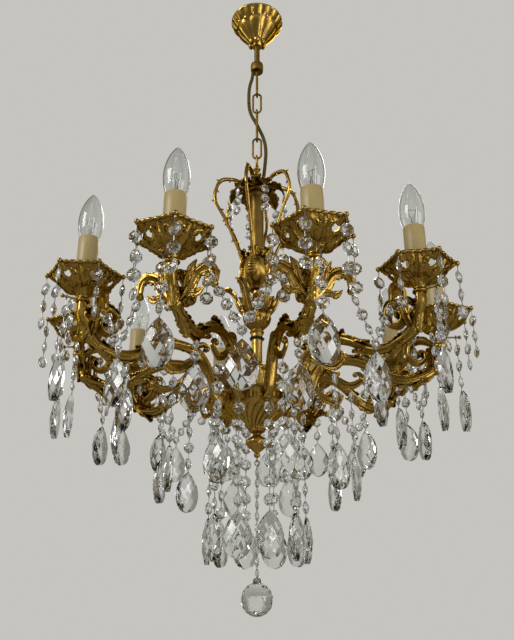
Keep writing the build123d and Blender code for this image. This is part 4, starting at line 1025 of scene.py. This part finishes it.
def wireRing(axis, middle, halfWidth, halfHeight, wire, count=20, sides=6):
    # a closed wire ring that faces along X or Y
    a = np.linspace(0, 2 * pi, count)
    wide, tall, none = halfWidth * np.cos(a), halfHeight * np.sin(a), np.zeros(count)
    line = np.stack([none, wide, tall] if axis == "x" else [wide, none, tall], 1)
    return bar(line + np.array(middle), wire, sides, slot=pinSize["slot"])


def pinWire(length):
    # a pin with an eye at its top
    pin = bar([(0, 0, pinSize["eyeFoot"]), (0, 0, -length)], pinSize["wire"], 6, slot=pinSize["slot"])
    middle, half = (0, 0, pinSize["eyeMiddle"]), pinSize["eye"]
    eye = wireRing("x", middle, half, half, pinSize["eyeWire"], 11, 5)
    return [pin, eye]


def beadLink(size, pitch, turn):
    pin = pitch - size
    parts = [moved(octagon(size), z=size / 2 - pitch)]
    if pin > 1:
        parts += pinWire(pin + pinSize["inBead"])
    return [turnedBy(p, turn) for p in parts]


def strand(size, pitch, count, top, seed):
    # every bead hangs a little turned from its neighbour
    parts = []
    for k in range(count):
        turn = beadSway["degrees"] * sin(beadSway["perBead"] * k + beadSway["perStrand"] * seed)
        for p in beadLink(size, pitch, turn):
            parts.append(moved(p, *top[:2], top[2] - pitch * k))
    return parts


pear = [moved(pearDrop(), z=-pearSize["pin"]), *pinWire(pearSize["pin"] + pinSize["inPear"])]


def hungPear(top, turn):
    return [moved(turnedBy(p, turn), *top) for p in pear]


# Strands at the pan's prongs, and under the arm's dip, curl and root
jewel = [crystal, nickelPin]
rimStrand = {"bead": 16, "pitch": 25, "count": 3, "radius": 51, "top": -618.15}
drops = (
    dict(x=204.94, top=-723.6, bead=12, pitch=15, count=2, twist=8, seed=3),
    dict(x=137.14, top=-724.1, bead=16, pitch=25, count=4, twist=-12, seed=4),
    dict(x=67.08, top=-756.3, bead=16, pitch=25, count=6, twist=10, seed=4),
)
rimBeads, armBeads, armPears = [], [], []
for k in range(panSize["corners"]):
    a = radians(windowSize["turn"] + 60 * k)
    prongEnd = (candleRadius + rimStrand["radius"] * cos(a), rimStrand["radius"] * sin(a), rimStrand["top"])
    rimBeads += strand(rimStrand["bead"], rimStrand["pitch"], rimStrand["count"], prongEnd, k)
for d in drops:
    armBeads += strand(d["bead"], d["pitch"], d["count"], (d["x"], 0, d["top"]), d["seed"])
    armPears += hungPear((d["x"], 0, d["top"] - d["pitch"] * d["count"]), d["twist"])

# Swag from one arm's branch to the next arm's, with a pear at its lowest point
swag = {"tipRadius": 265.65, "tipAngle": 10.85, "tipHeight": -683.4, "first": 6.64, "hookBall": 5.3,
        "bead": 14, "pitch": 19, "count": 3, "sway": 20, "middleBead": 12, "pearDrop": 6.15}


def swagTip(angle):
    a = radians(angle)
    return np.array((swag["tipRadius"] * cos(a), swag["tipRadius"] * sin(a), swag["tipHeight"]))


midAngle = armStep / 2
halfAngle = radians(midAngle - swag["tipAngle"])
swagReach = swag["first"] + swag["count"] * swag["pitch"] + swag["hookBall"]
middleRadius, halfSwag = swag["tipRadius"] * cos(halfAngle), swag["tipRadius"] * sin(halfAngle)
outward = np.array((cos(radians(midAngle)), sin(radians(midAngle)), 0))
swagDepth = (swagReach**2 - halfSwag**2) ** 0.5
swagMiddle = outward * middleRadius + np.array((0, 0, swag["tipHeight"] - swagDepth))
for angle in (swag["tipAngle"], armStep - swag["tipAngle"]):
    up = (swagTip(angle) - swagMiddle) / np.linalg.norm(swagTip(angle) - swagMiddle)
    for k in range(swag["count"]):
        linkEnd = swagMiddle + up * (swag["first"] + swag["pitch"] * k)
        for p in beadLink(swag["bead"], swag["pitch"], swag["sway"] * sin(3 * k + angle)):
            armBeads.append(placedAlong(p, linkEnd, up, outward))
armBeads.append(placedAlong(octagon(swag["middleBead"]), swagMiddle, (0, 0, -1), outward))
pearTop = swagMiddle - np.array((0, 0, swag["pearDrop"]))
armPears += [placedAlong(p, pearTop, (0, 0, -1), outward) for p in pear]
armJewels = (("rimBeads", rimBeads, "crystal_strands"), ("armBeads", armBeads, None),
             ("armPears", armPears, "crystal_pears"))
for name, parts, node in armJewels:
    onEachArm(name, meshOf(name, parts, jewel, smooth=False), "crystal", shared=node)

crownStrand = {"bead": 14, "pitch": 17.5, "count": 3, "top": (46, 0, -392)}
crownBeads = []
for k in range(crownSize["leaves"]):
    for p in strand(crownStrand["bead"], crownStrand["pitch"], crownStrand["count"], crownStrand["top"], k):
        crownBeads.append(turnedBy(p, crownSize["longTurn"] + 60 * k))
place("crownBeads", meshOf("crownBeads", crownBeads, jewel, smooth=False), "lamp_body", "crystal")

# Pendants that swing from the pans' hooks
pendantSize = {"ringMiddle": (297.5, 0, -650.8), "ring": 2.5, "wire": 0.8,
               "bead": 16, "pitch": 25, "count": 3, "top": (297.5, 0, -654.1), "seed": 4,
               "pearTop": (297.5, 0, -729.1), "twist": 6}
pendantRing = wireRing("x", pendantSize["ringMiddle"], pendantSize["ring"], pendantSize["ring"],
                       pendantSize["wire"])
pendantStrand = strand(pendantSize["bead"], pendantSize["pitch"], pendantSize["count"], pendantSize["top"],
                       pendantSize["seed"])
pendantParts = [pendantRing, *pendantStrand, *hungPear(pendantSize["pearTop"], pendantSize["twist"])]
pendantMesh = meshOf("outerPendant", pendantParts, jewel, smooth=False)
onEachArm("outerPendant", pendantMesh, "crystal", own="pendant", moves=True)


# Centre strand with a faceted ball
def facetBall(centre, radius, rows=9, count=16):
    # a ball cut all over in flat diamonds
    v, faces = [(0, 0, radius)], []
    for r in range(1, rows):
        lat = pi * r / rows
        for i in range(count):
            a = 2 * pi * (i + 0.5 * (r % 2)) / count
            v.append((radius * sin(lat) * cos(a), radius * sin(lat) * sin(a), radius * cos(lat)))
    v.append((0, 0, -radius))
    last = 1 + (rows - 2) * count
    for i in range(count):
        j = (i + 1) % count
        faces += [[0, 1 + i, 1 + j], [len(v) - 1, last + j, last + i]]
        for r in range(1, rows - 1):
            here, low, odd = 1 + (r - 1) * count, 1 + r * count, r % 2
            faces.append([here + i, low + (i + odd) % count, here + j])
            faces.append([here + i, low + (i + odd - 1) % count, low + (i + odd) % count])
    return np.array(v) + np.array(centre), faces, 0


ballSize = {"ringMiddle": (0, 0, -835.4), "ring": (3.2, 3.7), "wire": 0.8,
            "bead": 12, "pitch": 15, "count": 10, "top": (0, 0, -840.1), "seed": 2,
            "centre": (0, 0, -1016.2), "radius": 21.5,
            "cap": [(0, -990), (4.2, -990), (5.2, -992), (5, -996), (0, -996)]}
ballParts = [
    wireRing("y", ballSize["ringMiddle"], *ballSize["ring"], ballSize["wire"]),
    *strand(ballSize["bead"], ballSize["pitch"], ballSize["count"], ballSize["top"], ballSize["seed"]),
    facetBall(ballSize["centre"], ballSize["radius"]),
    turned(ballSize["cap"], 12, 12, slot=pinSize["slot"]),
]
place("ballDrop", meshOf("ballDrop", ballParts, jewel, smooth=False), "ball_drop", "crystal", "ball_drop")
print("crystal made")

# Studio floor: a wide pale disc that polished metal shows dimmer, which paints shade into the metal's
# undersides
floorSize = {"radius": 30, "height": -2.4, "sides": 96, "tone": "CFCCC6", "inMetal": "9A968D"}
floorMesh = bpy.data.meshes.new("paleFloor")
floorRim = []
for a in np.linspace(0, 2 * pi, floorSize["sides"], endpoint=False):
    floorRim.append((floorSize["radius"] * cos(a), floorSize["radius"] * sin(a), floorSize["height"]))
floorMesh.from_pydata(floorRim, [], [list(range(floorSize["sides"]))])
floorMat, floorTree, floorShader = newMaterial("paleMattPaint", Roughness=0.9)
floorMesh.materials.append(floorMat)
floorRay = addNode(floorTree, "ShaderNodeLightPath").outputs
# painted shade: the floor turns darker only in glossy rays, so the undersides of the metal look shaded
inMetal = addNode(floorTree, "ShaderNodeMath",
                  {0: floorRay["Is Glossy Ray"], 1: floorRay["Is Transmission Ray"]},
                  operation="SUBTRACT", use_clamp=True)
floorTone = addNode(floorTree, "ShaderNodeMix",
                    {"Factor": inMetal.outputs["Value"], mixA: hexColour(floorSize["tone"]),
                     mixB: hexColour(floorSize["inMetal"])}, data_type="RGBA")
floorTree.links.new(floorTone.outputs[mixOut], floorShader.inputs["Base Color"])
floor = bpy.data.objects.new("paleFloor", floorMesh)
bpy.context.scene.collection.objects.link(floor)

# Studio room: four pale walls and darker corners between them, dark in the metal and faint in the glass
room = {"wall": "C6C4BF", "corner": "4A463F", "glassCorner": "8A867E", "light": "F3F2EE", "lightLevel": 0.6,
        "walls": 4.0, "ceilingLevel": 0.45}
world = bpy.data.worlds.new("paleRoom")
bpy.context.scene.world = world
world.use_nodes = True
sky = world.node_tree
for node in list(sky.nodes):
    sky.nodes.remove(node)
skyRay = addNode(sky, "ShaderNodeLightPath").outputs
skyWay = addNode(sky, "ShaderNodeTexCoord").outputs["Generated"]
heading = addNode(sky, "ShaderNodeSeparateXYZ", {0: skyWay})
bearing = addNode(sky, "ShaderNodeMath", {0: heading.outputs["Y"], 1: heading.outputs["X"]},
                  operation="ARCTAN2")
quarters = addNode(sky, "ShaderNodeMath", {0: bearing.outputs["Value"], 1: room["walls"]},
                   operation="MULTIPLY")
wallWave = addNode(sky, "ShaderNodeMath", {0: quarters.outputs["Value"]}, operation="COSINE")
panel = addNode(sky, "ShaderNodeMapRange",
                {"Value": wallWave.outputs["Value"], "From Min": -0.55, "From Max": 0.45},
                interpolation_type="SMOOTHSTEP")
above = addNode(sky, "ShaderNodeMapRange",
                {"Value": heading.outputs["Z"], "From Min": 0.45, "From Max": 0.95,
                 "To Min": 1.0, "To Max": room["ceilingLevel"]})
wallTones = {}
for corner in ("corner", "glassCorner"):
    wallTone = addNode(sky, "ShaderNodeMix",
                       {"Factor": panel.outputs["Result"], mixA: hexColour(room[corner]),
                        mixB: hexColour(room["wall"])}, data_type="RGBA")
    wallTones[corner] = wallTone.outputs[mixOut]
lightPart = addNode(sky, "ShaderNodeBackground",
                    {"Color": hexColour(room["light"]), "Strength": room["lightLevel"]})
seenPart = addNode(sky, "ShaderNodeBackground", {"Color": hexColour(room["wall"]), "Strength": 1.0})
glassPart = addNode(sky, "ShaderNodeBackground",
                    {"Color": wallTones["glassCorner"], "Strength": above.outputs["Result"]})
metalPart = addNode(sky, "ShaderNodeBackground",
                    {"Color": wallTones["corner"], "Strength": above.outputs["Result"]})
surface = lightPart.outputs["Background"]
rayParts = (("Is Camera Ray", seenPart), ("Is Glossy Ray", metalPart), ("Is Transmission Ray", glassPart))
for ray, part in rayParts:
    mixed = addNode(sky, "ShaderNodeMixShader", {0: skyRay[ray], 1: surface, 2: part.outputs["Background"]})
    surface = mixed.outputs["Shader"]
addNode(sky, "ShaderNodeOutputWorld", {"Surface": surface})

# Lamps, three softboxes and three strips: place in metres, width and height in metres, watts
lampSet = {
    "keySoftbox": ((-2.1, -1.7, 0.7), (1.3, 1.3), 50),
    "fillSoftbox": ((2.3, -1.3, -0.3), (1.2, 1.2), 18),
    "backSoftbox": ((0.6, 2.1, 1.2), (1.0, 1.0), 18),
    "rightStrip": ((1.5, -2.2, 0.1), (0.25, 1.6), 6),
    "leftStrip": ((-2.5, 0.9, -0.2), (0.25, 1.6), 6),
    "lowStrip": ((1.3, -1.9, -1.5), (0.25, 1.2), 6),
}
lampAim = Vector((0, 0, -0.6))
for name, (spot, size, power) in lampSet.items():
    data = bpy.data.lights.new(name, "AREA")
    data.shape = "RECTANGLE"
    data.energy = power
    data.size, data.size_y = size
    lamp = bpy.data.objects.new(name, data)
    lamp.location = spot
    lamp.rotation_euler = (lampAim - Vector(spot)).to_track_quat("-Z", "Y").to_euler()
    lamp.visible_transmission = "Strip" in name       # the narrow ones sparkle in the cut glass
    lamp.visible_camera = False
    bpy.context.scene.collection.objects.link(lamp)

# Camera: low in front of the lamp, looking up at it
eye = {"distance": 1.0285, "azimuth": 3.7, "height": -1.0747, "pitch": 24.15, "lens": 41.2, "sensor": 36}
camera = bpy.data.objects.new("photoCamera", bpy.data.cameras.new("photoCamera"))
bpy.context.scene.collection.objects.link(camera)
azimuth = radians(eye["azimuth"])
camera.location = (eye["distance"] * sin(azimuth), -eye["distance"] * cos(azimuth), eye["height"])
camera.rotation_euler = (radians(90 + eye["pitch"]), 0, azimuth)
camera.data.lens = eye["lens"]
camera.data.sensor_width = eye["sensor"]
camera.data.sensor_fit = "AUTO"
camera.data.clip_start = 0.01
bpy.context.scene.camera = camera
bpy.context.scene.view_settings.view_transform = "Standard"

print("scene made")
